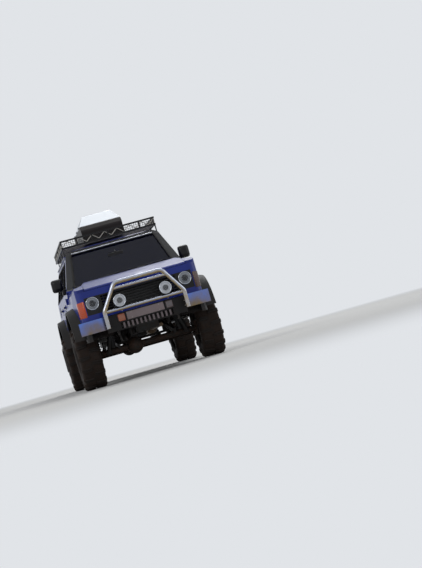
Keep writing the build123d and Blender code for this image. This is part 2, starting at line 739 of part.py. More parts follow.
# Bumpers, bull bar and plates
def bumper_plan(inset, recess):
    """Half outline of the front bumper seen from above, from the middle outwards."""
    return [
        (0, bumper_face_y + inset + recess), (700 - inset * 0.4, bumper_face_y + inset + recess),
        (bumper_half_width - inset, bumper_face_y + 96 + inset * 0.6),
        (bumper_half_width - inset, front_axle_y - arch_radius - 96),
    ]


def mirrored_outline(half):
    """Closed outline of a half and its mirror image, open side at the rear."""
    return half + [(-x, y) for x, y in reversed(half) if x > 0]


bumper_full = prism("z", mirrored_outline(bumper_plan(0, 0)), bumper_bottom_z, bumper_top_z)
bumper_hollow = prism("z", mirrored_outline(bumper_plan(bumper_wall, 0)), bumper_bottom_z + bumper_wall,
                      bumper_top_z - bumper_wall)
bumper_corner = (bumper_full - bumper_hollow) & block(bumper_corner_x, 1000, -3000, 0, 0, 1000)
bumper_corner = bumper_corner - block(0, bumper_half_width - 60, bumper_face_y + 120, 0, 0, 1000) - clip_outer
save(Compound(both_sides(bumper_corner)), "bumper_corners")
centre_beam = block(-bumper_corner_x, bumper_corner_x, bumper_face_y + bumper_recess, bumper_face_y + 110,
                    valance_bottom_z, bumper_top_z - 4)
centre_beam = centre_beam - block(-bumper_corner_x + 20, bumper_corner_x - 20,
                                  bumper_face_y + bumper_recess + bumper_wall, bumper_face_y + 120,
                                  valance_bottom_z - 10, bumper_top_z - 18)
for i in range(slot_count):
    centre = (i - (slot_count - 1) / 2) * slot_pitch
    centre_beam = centre_beam - block(centre - slot_width / 2, centre + slot_width / 2, bumper_face_y,
                                      bumper_face_y + 60, valance_bottom_z + 16, slot_top_z)
save(centre_beam, "front_bumper")

bar_y = nose_tip_y + bar_radius
hoop_points = [
    (-bar_foot_x, bar_y, bumper_bottom_z + 2), (-bar_foot_x, bar_y, bar_knee_z), (-bar_top_x, bar_y, bar_top_z - bar_radius),
    (bar_top_x, bar_y, bar_top_z - bar_radius), (bar_foot_x, bar_y, bar_knee_z), (bar_foot_x, bar_y, bumper_bottom_z + 2),
]
hoop_path = FilletPolyline(*hoop_points, radius=[90, 80, 80, 90])
hoop = sweep(Plane(hoop_points[0], z_dir=(0, 0, 1)) * Circle(bar_radius), path=hoop_path)
low_bar = rod((-bar_foot_x, bar_y, low_bar_z), (bar_foot_x, bar_y, low_bar_z), cross_bar_radius)
mid_bar_x = bar_foot_x + (bar_top_x - bar_foot_x) * (mid_bar_z - bar_knee_z) / (bar_top_z - bar_radius - bar_knee_z)
mid_bar = rod((-mid_bar_x, bar_y, mid_bar_z), (mid_bar_x, bar_y, mid_bar_z), cross_bar_radius)
bull_bar = hoop + low_bar + mid_bar
for side in (-1, 1):
    foot = block(min(side * 527, side * 541), max(side * 527, side * 541), bar_y, bumper_face_y + bumper_recess,
                 bumper_bottom_z + 14, bumper_bottom_z + 126)
    bull_bar = bull_bar + foot
save(bull_bar, "bull_bar")
spot_y = bar_y - 26
spot_lamps = [
    lamp(x, spot_lamp_z, spot_lamp_radius, spot_y, 84, 12)
    + block(x - 16, x + 16, bar_y - 14, bar_y + 14, low_bar_z + cross_bar_radius - 1, spot_lamp_z - spot_lamp_radius + 8)
    for x in (-spot_lamp_x, spot_lamp_x)
]
save(Compound([spot - low_bar for spot in spot_lamps]), "spot_lamps")
front_plate = block(-plate_length / 2, plate_length / 2, bumper_face_y + bumper_recess - plate_thickness,
                    bumper_face_y + bumper_recess, 776, 776 + plate_height)
rear_bumper_face = tail_y + 150
rear_plate = block(-plate_length / 2, plate_length / 2, rear_bumper_face, rear_bumper_face + plate_thickness,
                   676, 676 + plate_height)
save(Compound([front_plate, rear_plate]), "number_plates")
rear_outline = [
    (-892, tail_y - 150), (-892, tail_y + 60), (-800, rear_bumper_face), (800, rear_bumper_face),
    (892, tail_y + 60), (892, tail_y - 150), (872, tail_y - 150), (872, tail_y + 50), (790, rear_bumper_face - 24),
    (-790, rear_bumper_face - 24), (-872, tail_y + 50), (-872, tail_y - 150),
]
rear_bumper = prism("z", rear_outline, 662, 800)
rear_top = prism("z", [(-848, tail_y + 14), (-848, tail_y + 50), (-782, rear_bumper_face - 10),
                       (782, rear_bumper_face - 10), (848, tail_y + 50), (848, tail_y + 14)], 786, 800)
rear_bumper = rear_bumper + rear_top
tow_y = rear_bumper_face + 58
tow_tongue = block(-42, 42, tail_y - 95, tow_y, 600, 622) + rod((0, tow_y, 600), (0, tow_y, 622), 42)
tow_tongue = tow_tongue - rod((0, tow_y, 590), (0, tow_y, 632), 11)
tow_stem = block(-30, 30, tail_y - frame_end_gap, rear_bumper_face - 10, 622, 700)
for side in (-1, 1):
    rear_bumper = rear_bumper + block(side * 415 - 25, side * 415 + 25, tail_y - frame_end_gap,
                                      rear_bumper_face - 10, 662, 700)
tow_frame = block(-450, 450, tail_y - frame_end_gap, tail_y - wall - 1, 662, 716)
rear_bumper = rear_bumper + tow_tongue + tow_stem + tow_frame
save(rear_bumper, "rear_bumper")


# Wheel flares
def flare(axle_y):
    """Moulded lip over one left wheel, seated on the body's skin."""
    section = [
        (836, arch_radius + flare_root), (flare_reach_x, arch_radius + flare_lip), (flare_reach_x, arch_radius),
        (flare_reach_x - flare_wall, arch_radius), (flare_reach_x - flare_wall, arch_radius + flare_lip - 14),
        (836, arch_radius + flare_root - 22),
    ]
    ring = revolve(outline(section), Axis.X, 360)
    ring = Pos(0, axle_y, arch_centre_z) * ring
    ring = ring & block(800, 1200, axle_y - 800, axle_y + 800, 676, 1400)
    return ring - cabin_outer - clip_outer


flares = []
for axle_y in (front_axle_y, rear_axle_y):
    flares += both_sides(flare(axle_y))
save(Compound(flares), "wheel_flares")

# Ladder frame
rail = prism("x", rail_profile, rail_outer_x - rail_width, rail_outer_x)
cross_members = [
    # middle y, bottom z, top z, depth
    (front_axle_y - 560, 715, 795, 60),
    (front_axle_y + 1490, 645, 715, 60),
    (rear_axle_y - 720, 645, 715, 60),
    (rear_axle_y + 200, 770, 835, 60),
    (rear_axle_y + 765, 718, 795, 60),
]
frame = fused(both_sides(rail))
for middle_y, low, high, depth in cross_members:
    frame = frame + block(-rail_outer_x + 30, rail_outer_x - 30, middle_y - depth / 2, middle_y + depth / 2, low, high)
seat_y_values = (front_axle_y, rear_axle_y)
for seat_y in seat_y_values:
    for side in (-1, 1):
        seat = block(min(side * 400, side * 552), max(side * 400, side * 552), seat_y - 70, seat_y + 70,
                     spring_seat_z - 14, spring_seat_z + 4)
        frame = frame + seat
recovery_eye = (front_axle_y - 735, 640)
for side in (-1, 1):
    eye = block(side * 415 - 13, side * 415 + 13, recovery_eye[0] - 38, recovery_eye[0] + 60, 606, 704)
    hole = disc(recovery_eye, 14, min(side * 380, side * 450), max(side * 380, side * 450))
    frame = frame + (eye - hole)
    inner, outer = sorted((side * 440, side * 560))
    for mount_y in (front_axle_y + 1230, rear_axle_y - 990):
        frame = frame + block(inner, outer, mount_y - 40, mount_y + 40, 700, floor_z)
carrier_start = transfer_y + 80
carrier_end = carrier_start + 70
gearbox_carrier = block(-rail_outer_x, rail_outer_x, carrier_start, carrier_end, 506, 540)
for side in (-1, 1):
    inner, outer = sorted((side * (rail_outer_x - rail_width), side * rail_outer_x))
    gearbox_carrier = gearbox_carrier + block(inner, outer, carrier_start, carrier_end, 530, 640)
frame = frame + gearbox_carrier
save(frame, "chassis_frame")

# Axles
hub_inner_x = 758
front_tube_end = kingpin_x - 20
front_axle = rod((-front_tube_end, front_axle_y, tyre_radius), (front_tube_end, front_axle_y, tyre_radius),
                 axle_tube_radius)
front_axle = front_axle + Pos(front_diff_x, front_axle_y, tyre_radius) * Sphere(diff_radius)
front_axle = front_axle + rod((front_diff_x, front_axle_y, tyre_radius + 14),
                              (front_diff_x, front_axle_y + 205, tyre_radius + 30), 44)
for side in (-1, 1):
    x = side * kingpin_x
    front_axle = front_axle + rod((x, front_axle_y, tyre_radius - boss_half_height),
                                  (x, front_axle_y, tyre_radius + boss_half_height), boss_radius)
    front_axle = front_axle + rod((x, front_axle_y, tyre_radius - boss_half_height - fork_gap - fork_thickness),
                                  (x, front_axle_y, tyre_radius + boss_half_height + fork_gap + fork_thickness),
                                  kingpin_radius)
save(front_axle, "front_axle")
rear_axle = rod((-hub_inner_x, rear_axle_y, tyre_radius), (hub_inner_x, rear_axle_y, tyre_radius), axle_tube_radius)
rear_axle = rear_axle + Pos(0, rear_axle_y, tyre_radius) * Sphere(diff_radius)
rear_axle = rear_axle + rod((0, rear_axle_y, tyre_radius + 14), (0, rear_axle_y - 205, tyre_radius + 30), 44)
for side in (-1, 1):
    rear_axle = rear_axle + disc((rear_axle_y, tyre_radius), brake_radius, side * (hub_inner_x - 26), side * hub_inner_x)
    rear_axle = rear_axle + disc((rear_axle_y, tyre_radius), spindle_radius, side * hub_inner_x,
                                 side * (wheel_plane_x + rim_disc_x + 18))
save(rear_axle, "rear_axle")

# Springs, dampers and arms
suspension = []
for axle_y, arm_way in ((front_axle_y, 1), (rear_axle_y, -1)):
    for side in (-1, 1):
        x = side * spring_x
        cup_z = tyre_radius + axle_tube_radius - 6
        spring = rod((x, axle_y, cup_z), (x, axle_y, spring_seat_z - 14), spring_radius - 14)
        turns = 6
        for turn in range(turns):
            z = cup_z + 16 + turn * (spring_seat_z - 14 - cup_z - 32) / (turns - 1)
            spring = spring + rod((x, axle_y, z - 8), (x, axle_y, z + 8), spring_radius)
        damper = rod((side * 565, axle_y - arm_way * 88, tyre_radius - 10),
                     (side * 500, axle_y - arm_way * 120, 640), 30)
        damper = damper + rod((side * 500, axle_y - arm_way * 120, 636), (side * 455, axle_y - arm_way * 140, 776), 16)
        damper = damper + block(min(side * 520, side * 590), max(side * 520, side * 590),
                                min(axle_y - arm_way * 110, axle_y - arm_way * 20),
                                max(axle_y - arm_way * 110, axle_y - arm_way * 20), tyre_radius - 30, tyre_radius + 10)
        arm_points = [
            (axle_y - arm_way * 60, tyre_radius + 6), (axle_y - arm_way * 60, tyre_radius + 74),
            (axle_y + arm_way * 80, tyre_radius + 96), (axle_y + arm_way * 800, 640), (axle_y + arm_way * 800, 590),
            (axle_y + arm_way * 80, tyre_radius + 16),
        ]
        arm = prism("x", arm_points, side * 400 - 20, side * 400 + 20)
        bush = rod((side * 400 - 30, axle_y + arm_way * 800, 618), (side * 400 + 30, axle_y + arm_way * 800, 618), 38)
        axle = front_axle if arm_way > 0 else rear_axle
        suspension += [(spring + damper + arm + bush) - frame - axle]
save(Compound(suspension), "suspension")

# Drive line
shafts = [
    rod((front_diff_x, front_axle_y + 200, tyre_radius + 30), (front_diff_x, transfer_y - 150, 600), 30),
    rod((0, rear_axle_y - 200, tyre_radius + 30), (0, transfer_y + 165, 600), 34),
]
engine_block = block(-250, 250, front_axle_y - 420, front_axle_y + 300, 690, 1180)
engine_head = block(-150, 170, front_axle_y - 400, front_axle_y + 280, 1180, 1250)
sump = block(-90, 230, front_axle_y + 60, front_axle_y + 300, 600, 690)
gearbox = block(-140, 140, front_axle_y + 300, transfer_y - 150, 590, 870)
transfer = block(-250, 110, transfer_y - 150, transfer_y + 165, 540, 735)
engine = engine_block + engine_head + sump + gearbox + transfer
save(engine, "engine")
save(Compound([shaft - engine - front_axle - rear_axle for shaft in shafts]), "propeller_shafts")
radiator = block(-370, 370, lamp_plane_y + 118, lamp_plane_y + 162, 795, 1230)
save(radiator, "radiator")
save(block(rail_width - rail_outer_x, 190, rear_axle_y + 270, rear_axle_y + 700, 560, 765), "fuel_tank")
exhaust = rod((285, front_axle_y + 320, 618), (285, tail_y + 38, 618), 27)
exhaust = exhaust + rod((285, b_line_y - 15, 618), (285, b_line_y + 485, 618), 72)
save(exhaust, "exhaust")


# Wheels
def tyre():
    """Lugged tyre at the origin with its axle along X and its outer face towards +X."""
    half = tyre_width / 2
    crown = tyre_radius - tread_groove_depth
    bead_radius = rim_radius + rim_flange_height + 2
    rings = [
        # offset along the axle, radius
        (-98, bead_radius), (-half + 6, 310), (-half + 4, 376), (-half + 34, crown),
        (half - 34, crown), (half - 4, 376), (half - 6, 310), (98, bead_radius),
    ]
    angles = [2 * math.pi * (k + 0.5) / tyre_sides for k in range(tyre_sides)]
    unit_ring = [(math.cos(angle), math.sin(angle)) for angle in angles]
    faces = [Plane.YZ.offset(x) * outline([(radius * y, radius * z) for y, z in unit_ring]) for x, radius in rings]
    seat_radius = rim_radius / math.cos(math.pi / tyre_sides)
    bore = prism("x", [(seat_radius * y, seat_radius * z) for y, z in unit_ring], -200, 200)
    carcass = loft(faces, ruled=True) - bore
    lug_profile = [
        (half - lug_reach, crown - 14), (half - lug_reach, tyre_radius), (half - 26, tyre_radius), (half, 396),
        (half - 20, 384),
    ]
    lug = extrude(outline(lug_profile), lug_length / 2, both=True)
    mirrored_lug = mirror(lug, about=Plane.YZ)
    pieces = [carcass]
    for k in range(lug_count):
        angle = 360 * k / lug_count
        pieces.append(Rot(angle, 0, 0) * lug)
        pieces.append(Rot(angle + 180 / lug_count, 0, 0) * mirrored_lug)
    return pieces[0].fuse(*pieces[1:])


def rim(cap_outwards=True):
    """Pressed disc wheel at the origin with its axle along X and its outer face towards +X."""
    half = rim_width / 2
    edge = rim_radius + rim_flange_height
    profile = [
        (-half, rim_radius - rim_wall), (-half, edge), (-half + rim_flange_width, edge),
        (-half + rim_flange_width, rim_radius), (half - rim_flange_width, rim_radius),
        (half - rim_flange_width, edge), (half, edge), (half, rim_radius - rim_wall),
    ]
    barrel = revolve(outline(profile), Axis.X, 360)
    plate = disc((0, 0), rim_radius - rim_wall + 2, rim_disc_x, rim_disc_x + rim_disc_thickness)
    hub = disc((0, 0), 78, rim_disc_x - 30, rim_disc_x + rim_disc_thickness + 10)
    body = barrel + plate + hub
    if cap_outwards:
        body = body + disc((0, 0), hub_cap_radius, rim_disc_x, rim_disc_x + hub_cap_length)
    for k in range(rim_window_count):
        angle = 2 * math.pi * (k + 0.5) / rim_window_count
        centre = (rim_window_circle * math.cos(angle), rim_window_circle * math.sin(angle))
        body = body - disc(centre, rim_window_radius, rim_disc_x - 5, rim_disc_x + rim_disc_thickness + 5)
    return body - disc((0, 0), spindle_radius + spindle_fit, rim_disc_x - 40, rim_disc_x + 18 + spindle_fit)


tyre_shape = tyre()
rim_shape = rim()
for end, axle_y in (("front", front_axle_y), ("rear", rear_axle_y)):
    for side, turn, x in (("left", 0, wheel_plane_x), ("right", 180, -wheel_plane_x)):
        place = Pos(x, axle_y, tyre_radius) * Rot(0, 0, turn)
        save(place * tyre_shape, f"{end}_tyre_{side}")
        save(place * rim_shape, f"{end}_rim_{side}")
spare_place = Pos(spare_x, tail_tip_y - tyre_width / 2, spare_z) * Rot(0, 0, 90)
save(spare_place * tyre_shape, "spare_tyre")
save(spare_place * rim(False), "spare_rim")

# Knuckles with their spindles and steering arms
arm_z = tyre_radius - boss_half_height - fork_gap - fork_thickness
knuckle = disc((front_axle_y, tyre_radius), spindle_radius, kingpin_x + 46, wheel_plane_x + rim_disc_x + 18)
knuckle = knuckle + disc((front_axle_y, tyre_radius), brake_radius, hub_inner_x, hub_inner_x + 22)
knuckle = knuckle + block(kingpin_x + 44, kingpin_x + 66, front_axle_y - 48, front_axle_y + 48, arm_z,
                          tyre_radius + boss_half_height + fork_gap + fork_thickness)
for low in (arm_z, tyre_radius + boss_half_height + fork_gap):
    plate = rod((kingpin_x, front_axle_y, low), (kingpin_x, front_axle_y, low + fork_thickness), fork_radius)
    plate = plate + block(kingpin_x, kingpin_x + 60, front_axle_y - 48, front_axle_y + 48, low, low + fork_thickness)
    knuckle = knuckle + plate
arm_y = front_axle_y + steering_arm_length
knuckle = knuckle + block(kingpin_x - 22, kingpin_x + 22, front_axle_y, arm_y, arm_z, arm_z + fork_thickness)
knuckle = knuckle + rod((kingpin_x, arm_y, arm_z), (kingpin_x, arm_y, arm_z + fork_thickness), 22)
eye_z = arm_z + fork_thickness + tie_rod_lift
knuckle = knuckle + rod((kingpin_x, arm_y, arm_z), (kingpin_x, arm_y, eye_z + tie_rod_eye_height), ball_pin_radius)
knuckle = knuckle - rod((kingpin_x, front_axle_y, 200), (kingpin_x, front_axle_y, 700), kingpin_radius + kingpin_fit)
for side, piece in zip(("left", "right"), both_sides(knuckle)):
    save(piece, f"knuckle_{side}")
rod_z = eye_z + tie_rod_eye_height / 2
tie_rod = rod((-kingpin_x + 20, arm_y, rod_z), (kingpin_x - 20, arm_y, rod_z), tie_rod_radius)
for side in (-1, 1):
    x = side * kingpin_x
    tie_rod = tie_rod + rod((x, arm_y, eye_z), (x, arm_y, eye_z + tie_rod_eye_height), tie_rod_eye_radius)
for side, bore in ((-1, ball_pin_radius + 2), (1, ball_pin_radius + kingpin_fit)):
    tie_rod = tie_rod - rod((side * kingpin_x, arm_y, eye_z - 5), (side * kingpin_x, arm_y, eye_z + 60), bore)
save(tie_rod, "tie_rod")

# Mirrors
mirror_y = lamp_plane_y + 1500
head_outline = [(mirror_y - 52, 1462), (mirror_y - 40, 1650), (mirror_y + 34, 1650), (mirror_y + 34, 1462)]
mirror_head = prism("x", head_outline, 868, 1032, 22)
mirror_arm = block(806, 900, mirror_y - 30, mirror_y + 30, belt_z - 44, 1480)
door_mirror = (mirror_head + mirror_arm) - cabin_outer
for side, piece in zip(("left", "right"), both_sides(door_mirror)):
    save(piece, f"mirror_{side}")

# Cabin fittings
dash_low_z = 1080
dash_profile = [
    (cowl_y + 60, dash_low_z), (cowl_y + 60, 1380), (cowl_y + 150, 1404), (cowl_y + 330, 1350), (cowl_y + 350, 1240),
    (cowl_y + 270, dash_low_z),
]
dash = prism("x", dash_profile, -756, 756, 20)
wheel_centre = Vector(380, cowl_y + 480, 1250)
column_way = Vector(0, -0.9, -0.42).normalized()
steering_plane = Plane(origin=wheel_centre, z_dir=-column_way)
steering_ring = steering_plane * Torus(185, 15)
steering_hub = steering_plane * Cylinder(62, 40)
spokes = steering_plane * Box(360, 34, 16)
column = rod(tuple(wheel_centre), tuple(wheel_centre + column_way * 220), 34)
column = column - prism("x", dash_profile, -756, 756)
firewall_link = block(-300, 300, cowl_y + 18, cowl_y + 61, dash_low_z + 40, dash_low_z + 280)
dash = dash + steering_ring + steering_hub + spokes + column + firewall_link
save(dash - floor_pan, "dashboard")


def seat(centre_x, width, cushion_y, floor_level, back_height):
    """Seat with a cushion, a back and two low runners."""
    cushion = prism("x", [(cushion_y - 260, floor_level + 210), (cushion_y - 270, floor_level + 330),
                          (cushion_y + 240, floor_level + 290), (cushion_y + 240, floor_level + 170)],
                    centre_x - width / 2, centre_x + width / 2, 40)
    back = prism("x", [(cushion_y + 190, floor_level + 180), (cushion_y + 170, floor_level + 300),
                       (cushion_y + 330, floor_level + back_height), (cushion_y + 400, floor_level + back_height),
                       (cushion_y + 310, floor_level + 180)], centre_x - width / 2, centre_x + width / 2, 30)
    rails = block(centre_x - width / 2 + 72, centre_x + width / 2 - 72, cushion_y - 200, cushion_y + 200, floor_level,
                  floor_level + 230)
    return cushion + back + rails


seat_floor = floor_z + floor_thickness
seats = [
    seat(-400, 480, b_line_y - 255, seat_floor, 950),
    seat(400, 480, b_line_y - 255, seat_floor, 950),
    seat(0, 1160, rear_axle_y - 770, seat_floor, 860),
]
save(Compound(seats), "seats")

# Roof rack
rack_low = rack_floor_z - rack_tube / 2
rack = block(-rack_half_width, rack_half_width, rack_front_y, rack_rear_y, rack_low, rack_low + rack_tube)
rack = rack - block(-rack_half_width + rack_tube, rack_half_width - rack_tube, rack_front_y + rack_tube,
                    rack_rear_y - rack_tube, rack_low - 10, rack_low + rack_tube + 10)
rail_low = rack_rail_z - rack_tube / 2
rack_edge_x = rack_half_width - rack_tube / 2
rack_edges = [
    # start x, start y, end x, end y
    (-rack_edge_x, rack_front_y + rack_tube / 2, rack_edge_x, rack_front_y + rack_tube / 2),
    (-rack_edge_x, rack_rear_y - rack_tube / 2, rack_edge_x, rack_rear_y - rack_tube / 2),
    (-rack_edge_x, rack_front_y, -rack_edge_x, rack_rear_y),
    (rack_edge_x, rack_front_y, rack_edge_x, rack_rear_y),
]
top_rail = block(-rack_half_width, rack_half_width, rack_front_y, rack_rear_y, rail_low, rail_low + rack_tube)
top_rail = top_rail - block(-rack_half_width + rack_tube, rack_half_width - rack_tube, rack_front_y + rack_tube,
                            rack_rear_y - rack_tube, rail_low - 10, rail_low + rack_tube + 10)
rack = rack + top_rail
rack_length = rack_rear_y - rack_front_y
for i in range(rack_slat_count):
    y = rack_front_y + 120 + i * (rack_length - 240) / (rack_slat_count - 1)
    rack = rack + block(-rack_half_width + 4, rack_half_width - 4, y - 16, y + 16, rack_low + 4, rack_low + rack_tube - 4)
for i in range(rack_post_count):
    y = rack_front_y + 60 + i * (rack_length - 120) / (rack_post_count - 1)
    for side in (-1, 1):
        edge = side * (rack_half_width - rack_tube / 2)
        rack = rack + block(edge - 10, edge + 10, y - 10, y + 10, rack_low + rack_tube - 2, rail_low + 2)
        if rack_front_y + 60 < y < tail_y - 400 or i == 0:
            leg_y = max(y, screen_head[0] + 160)
            inner, outer = sorted((edge - side * 2, edge + side * 10))
            rack = rack + block(inner, outer, leg_y - 26, leg_y + 26, roof_joint_z + 9, rack_low + 2)
for i in range(-2, 3):
    x = i * 240
    for y in (rack_front_y + rack_tube / 2, rack_rear_y - rack_tube / 2):
        rack = rack + block(x - 10, x + 10, y - 10, y + 10, rack_low + rack_tube - 2, rail_low + 2)
lace_low = rack_low + rack_tube - 2
lace_high = rail_low + 2
lace_pieces = []
for start_x, start_y, end_x, end_y in rack_edges:
    run = math.hypot(end_x - start_x, end_y - start_y)
    turns = round(run / lace_pitch)
    for k in range(turns):
        near, far = (k / turns, (k + 1) / turns)
        low_z, high_z = (lace_low, lace_high) if k % 2 == 0 else (lace_high, lace_low)
        start = Vector(start_x + (end_x - start_x) * near, start_y + (end_y - start_y) * near, low_z)
        end = Vector(start_x + (end_x - start_x) * far, start_y + (end_y - start_y) * far, high_z)
        bar = Plane(origin=start, z_dir=end - start) * Box(
            lace_width, lace_width, (end - start).length, align=(Align.CENTER, Align.CENTER, Align.MIN))
        lace_pieces.append(bar)
save(rack.fuse(*lace_pieces), "roof_rack")

# Roof box
box_section = [(-1, 0), (-1.02, 250), (-0.68, 448), (0.68, 448), (1.02, 250), (1, 0)]
box_profile = [(0, 0), (-26, 190), (38, 256), (336, 438), (1380, 448), (1620, 300), (1650, 0)]


def box_body(inset):
    """Roof box filled solid, with its walls moved in."""
    section = [(box_centre_x + k * (box_half_width - inset), box_floor_z + max(z, inset) - (inset if z > 400 else 0))
               for k, z in box_section]
    profile = moved_edges([(box_front_y + y, box_floor_z + z) for y, z in box_profile], [-inset] * len(box_profile))
    body = prism("y", section, box_front_y - 150, box_front_y + 1750, [30, 60, 70, 70, 60, 30])
    return body & prism("x", profile, -800, 800, [20, 40, 60, 120, 160, 90, 30])


def lid_eye(low, high):
    """Round eye of the roof box's hinge."""
    return rod((box_hinge_x, low, box_split_z), (box_hinge_x, high, box_split_z), box_eye_radius)


box_shell = box_body(0) - box_body(box_wall)
box_base = box_shell & block(-800, 800, box_front_y - 250, box_front_y + 1850, box_split_z - 362, box_split_z)
box_lid = box_shell & block(-800, 800, box_front_y - 250, box_front_y + 1850, box_split_z + rest_gap,
                       box_split_z + 338)
wall_x = box_hinge_x + 24
for y in box_hinge_places:
    box_lid = box_lid + lid_eye(y - hinge_half, y + hinge_half)
    box_lid = box_lid + block(box_hinge_x - 3, wall_x, y - hinge_half, y + hinge_half, box_split_z + rest_gap,
                              box_split_z + 9)
    for low, high in eye_spans(y):
        box_base = box_base + lid_eye(low, high)
        box_base = box_base + block(box_hinge_x - 3, wall_x, low, high, box_split_z - 9, box_split_z)
save(box_base, "roof_box_base")
save(box_lid, "roof_box_lid")
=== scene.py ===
"""Dresses the raised off-road estate car, in metres, in the frame of its solids: front -Y, left +X."""

import logging
import math
from dataclasses import dataclass, field
from enum import Enum

import bpy
import numpy as np
from mathutils import Matrix, Vector


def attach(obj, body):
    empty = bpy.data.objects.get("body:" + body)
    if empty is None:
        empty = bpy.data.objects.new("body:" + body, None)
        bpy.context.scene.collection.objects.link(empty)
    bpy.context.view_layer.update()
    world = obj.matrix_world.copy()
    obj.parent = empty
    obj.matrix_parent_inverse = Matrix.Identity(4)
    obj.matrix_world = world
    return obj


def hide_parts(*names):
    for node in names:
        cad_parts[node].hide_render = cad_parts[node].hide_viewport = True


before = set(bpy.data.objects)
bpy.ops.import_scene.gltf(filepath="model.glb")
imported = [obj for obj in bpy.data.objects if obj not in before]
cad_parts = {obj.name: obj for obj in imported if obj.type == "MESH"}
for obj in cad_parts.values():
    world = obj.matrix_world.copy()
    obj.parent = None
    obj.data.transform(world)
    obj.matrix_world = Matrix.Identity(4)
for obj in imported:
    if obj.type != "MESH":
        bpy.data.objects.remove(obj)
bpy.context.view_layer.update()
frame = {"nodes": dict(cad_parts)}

LOG = logging.getLogger("estate_car")
Array = np.ndarray
Point = tuple[float, float, float]
Outline = tuple[tuple[float, float], ...]
Socket = bpy.types.NodeSocket
Material = bpy.types.Material
MM = 0.001

FRONT_AXLE_Y = -1.610
REAR_AXLE_Y = 1.360
WHEEL_X = 0.850
WHEEL_Z = 0.437
COWL_Y = -1.099
TAIL_Y = 2.262
B_LINE_Y = 0.075
C_LINE_Y = 1.034
SKIN_HEIGHTS = (0.622, 1.020, 1.410, 1.962)
SKIN_HALVES = (0.852, 0.886, 0.862, 0.704)
SIDES = (("left", 1.0), ("right", -1.0))


# Shapes
@dataclass(frozen=True)
class Shape:
    """Points with the faces between them, one index array for each number of corners."""

    points: Array
    faces: tuple[Array, ...]

    def moved(self, matrix: Array) -> "Shape":
        """The shape with a 4x4 matrix applied to its points."""
        return Shape(self.points @ matrix[:3, :3].T + matrix[:3, 3], self.faces)

    def mirrored(self) -> "Shape":
        """The shape on the other side of the vehicle, with its faces turned to stay outwards."""
        return Shape(self.points * (-1.0, 1.0, 1.0), tuple(group[:, ::-1] for group in self.faces))

    def on(self, sign: float) -> "Shape":
        """The shape itself for the left side, and its mirror image for the right."""
        return self if sign > 0 else self.mirrored()

    def repeated(self, matrices: Array) -> "Shape":
        """One copy for each 4x4 matrix: point times turn plus shift, for all copies at once.

        Args:
            matrices: One placing matrix for each copy.

        Returns:
            All the copies as one shape.
        """
        turned = np.einsum("kij,nj->kni", matrices[:, :3, :3], self.points) + matrices[:, None, :3, 3]
        steps = np.arange(len(matrices))[:, None, None] * len(self.points)
        faces = tuple((group[None] + steps).reshape(-1, group.shape[1]) for group in self.faces)
        return Shape(turned.reshape(-1, 3), faces)


def joined(shapes: list[Shape]) -> Shape:
    """Puts several shapes into one.

    Args:
        shapes: the shapes, which keep their places.

    Returns:
        One shape, whose indices run on from shape to shape.
    """
    starts = np.cumsum([0] + [len(shape.points) for shape in shapes[:-1]])
    groups: dict[int, list[Array]] = {}
    for start, shape in zip(starts, shapes):
        for group in shape.faces:
            groups.setdefault(group.shape[1], []).append(group + start)
    points = np.concatenate([shape.points for shape in shapes])
    return Shape(points, tuple(np.concatenate(group) for group in groups.values()))


def outwards(shape: Shape) -> Shape:
    """Turns a closed shape's faces outwards, so that its volume, a sum of triple products, is positive.

    Args:
        shape: A closed shape.

    Returns:
        The shape with its faces turned.
    """
    volume = 0.0
    for group in shape.faces:
        corners = shape.points[group]
        for k in range(1, group.shape[1] - 1):
            volume += np.einsum("ni,ni->", corners[:, 0], np.cross(corners[:, k], corners[:, k + 1]))
    if volume >= 0:
        return shape
    return Shape(shape.points, tuple(group[:, ::-1] for group in shape.faces))


def grid(points: Array, wrap_rows: bool = False, wrap_columns: bool = False, caps: bool = False) -> Shape:
    """Joins a grid of points by four-cornered faces.

    Args:
        points: rows x columns x 3 points.
        wrap_rows: also joins the last row to the first.
        wrap_columns: also joins the last column to the first.
        caps: closes the first and the last row with one face each.

    Returns:
        The surface.
    """
    rows, columns = points.shape[:2]
    index = np.arange(rows * columns).reshape(rows, columns)
    across = np.concatenate([index, index[:, :1]], axis=1) if wrap_columns else index
    ground_share = np.concatenate([across, across[:1]], axis=0) if wrap_rows else across
    quads = np.stack([ground_share[:-1, :-1], ground_share[:-1, 1:], ground_share[1:, 1:], ground_share[1:, :-1]], axis=-1).reshape(-1, 4)
    faces = [quads]
    if caps:
        faces.append(np.stack([index[0, ::-1], index[-1]]))
    return Shape(points.reshape(-1, 3), tuple(faces))


def unit(vectors: Array) -> Array:
    """Vectors of length one in the same directions."""
    return vectors / np.maximum(np.linalg.norm(vectors, axis=-1, keepdims=True), 1e-12)


def swept(path: Array, normals: Array, profile: Array, closed: bool = False) -> Shape:
    """Carries a closed profile along a path: point = path + profile_x times side + profile_y times normal.

    Args:
        path: n x 3 points.
        normals: direction of the profile's second axis at each point, or one for all.
        profile: m x 2 points, the first axis across the path.
        closed: True if the path ends where it begins.

    Returns:
        The closed surface, with its ends capped on an open path.
    """
    normals = np.broadcast_to(np.asarray(normals, float), path.shape)
    if closed:
        along = unit(np.roll(path, -1, 0) - np.roll(path, 1, 0))
    else:
        along = unit(np.gradient(path, axis=0))
    side = unit(np.cross(along, normals))
    upright = np.cross(side, along)
    points = path[:, None] + side[:, None] * profile[None, :, :1] + upright[:, None] * profile[None, :, 1:]
    return outwards(grid(points, wrap_rows=closed, wrap_columns=True, caps=not closed))


def ring_points(radius: float, sides: int) -> Array:
    """Points round a circle: radius times cosine and sine of evenly spaced angles."""
    angles = np.arange(sides) * 2 * math.pi / sides
    return np.stack([np.cos(angles), np.sin(angles)], axis=-1) * radius


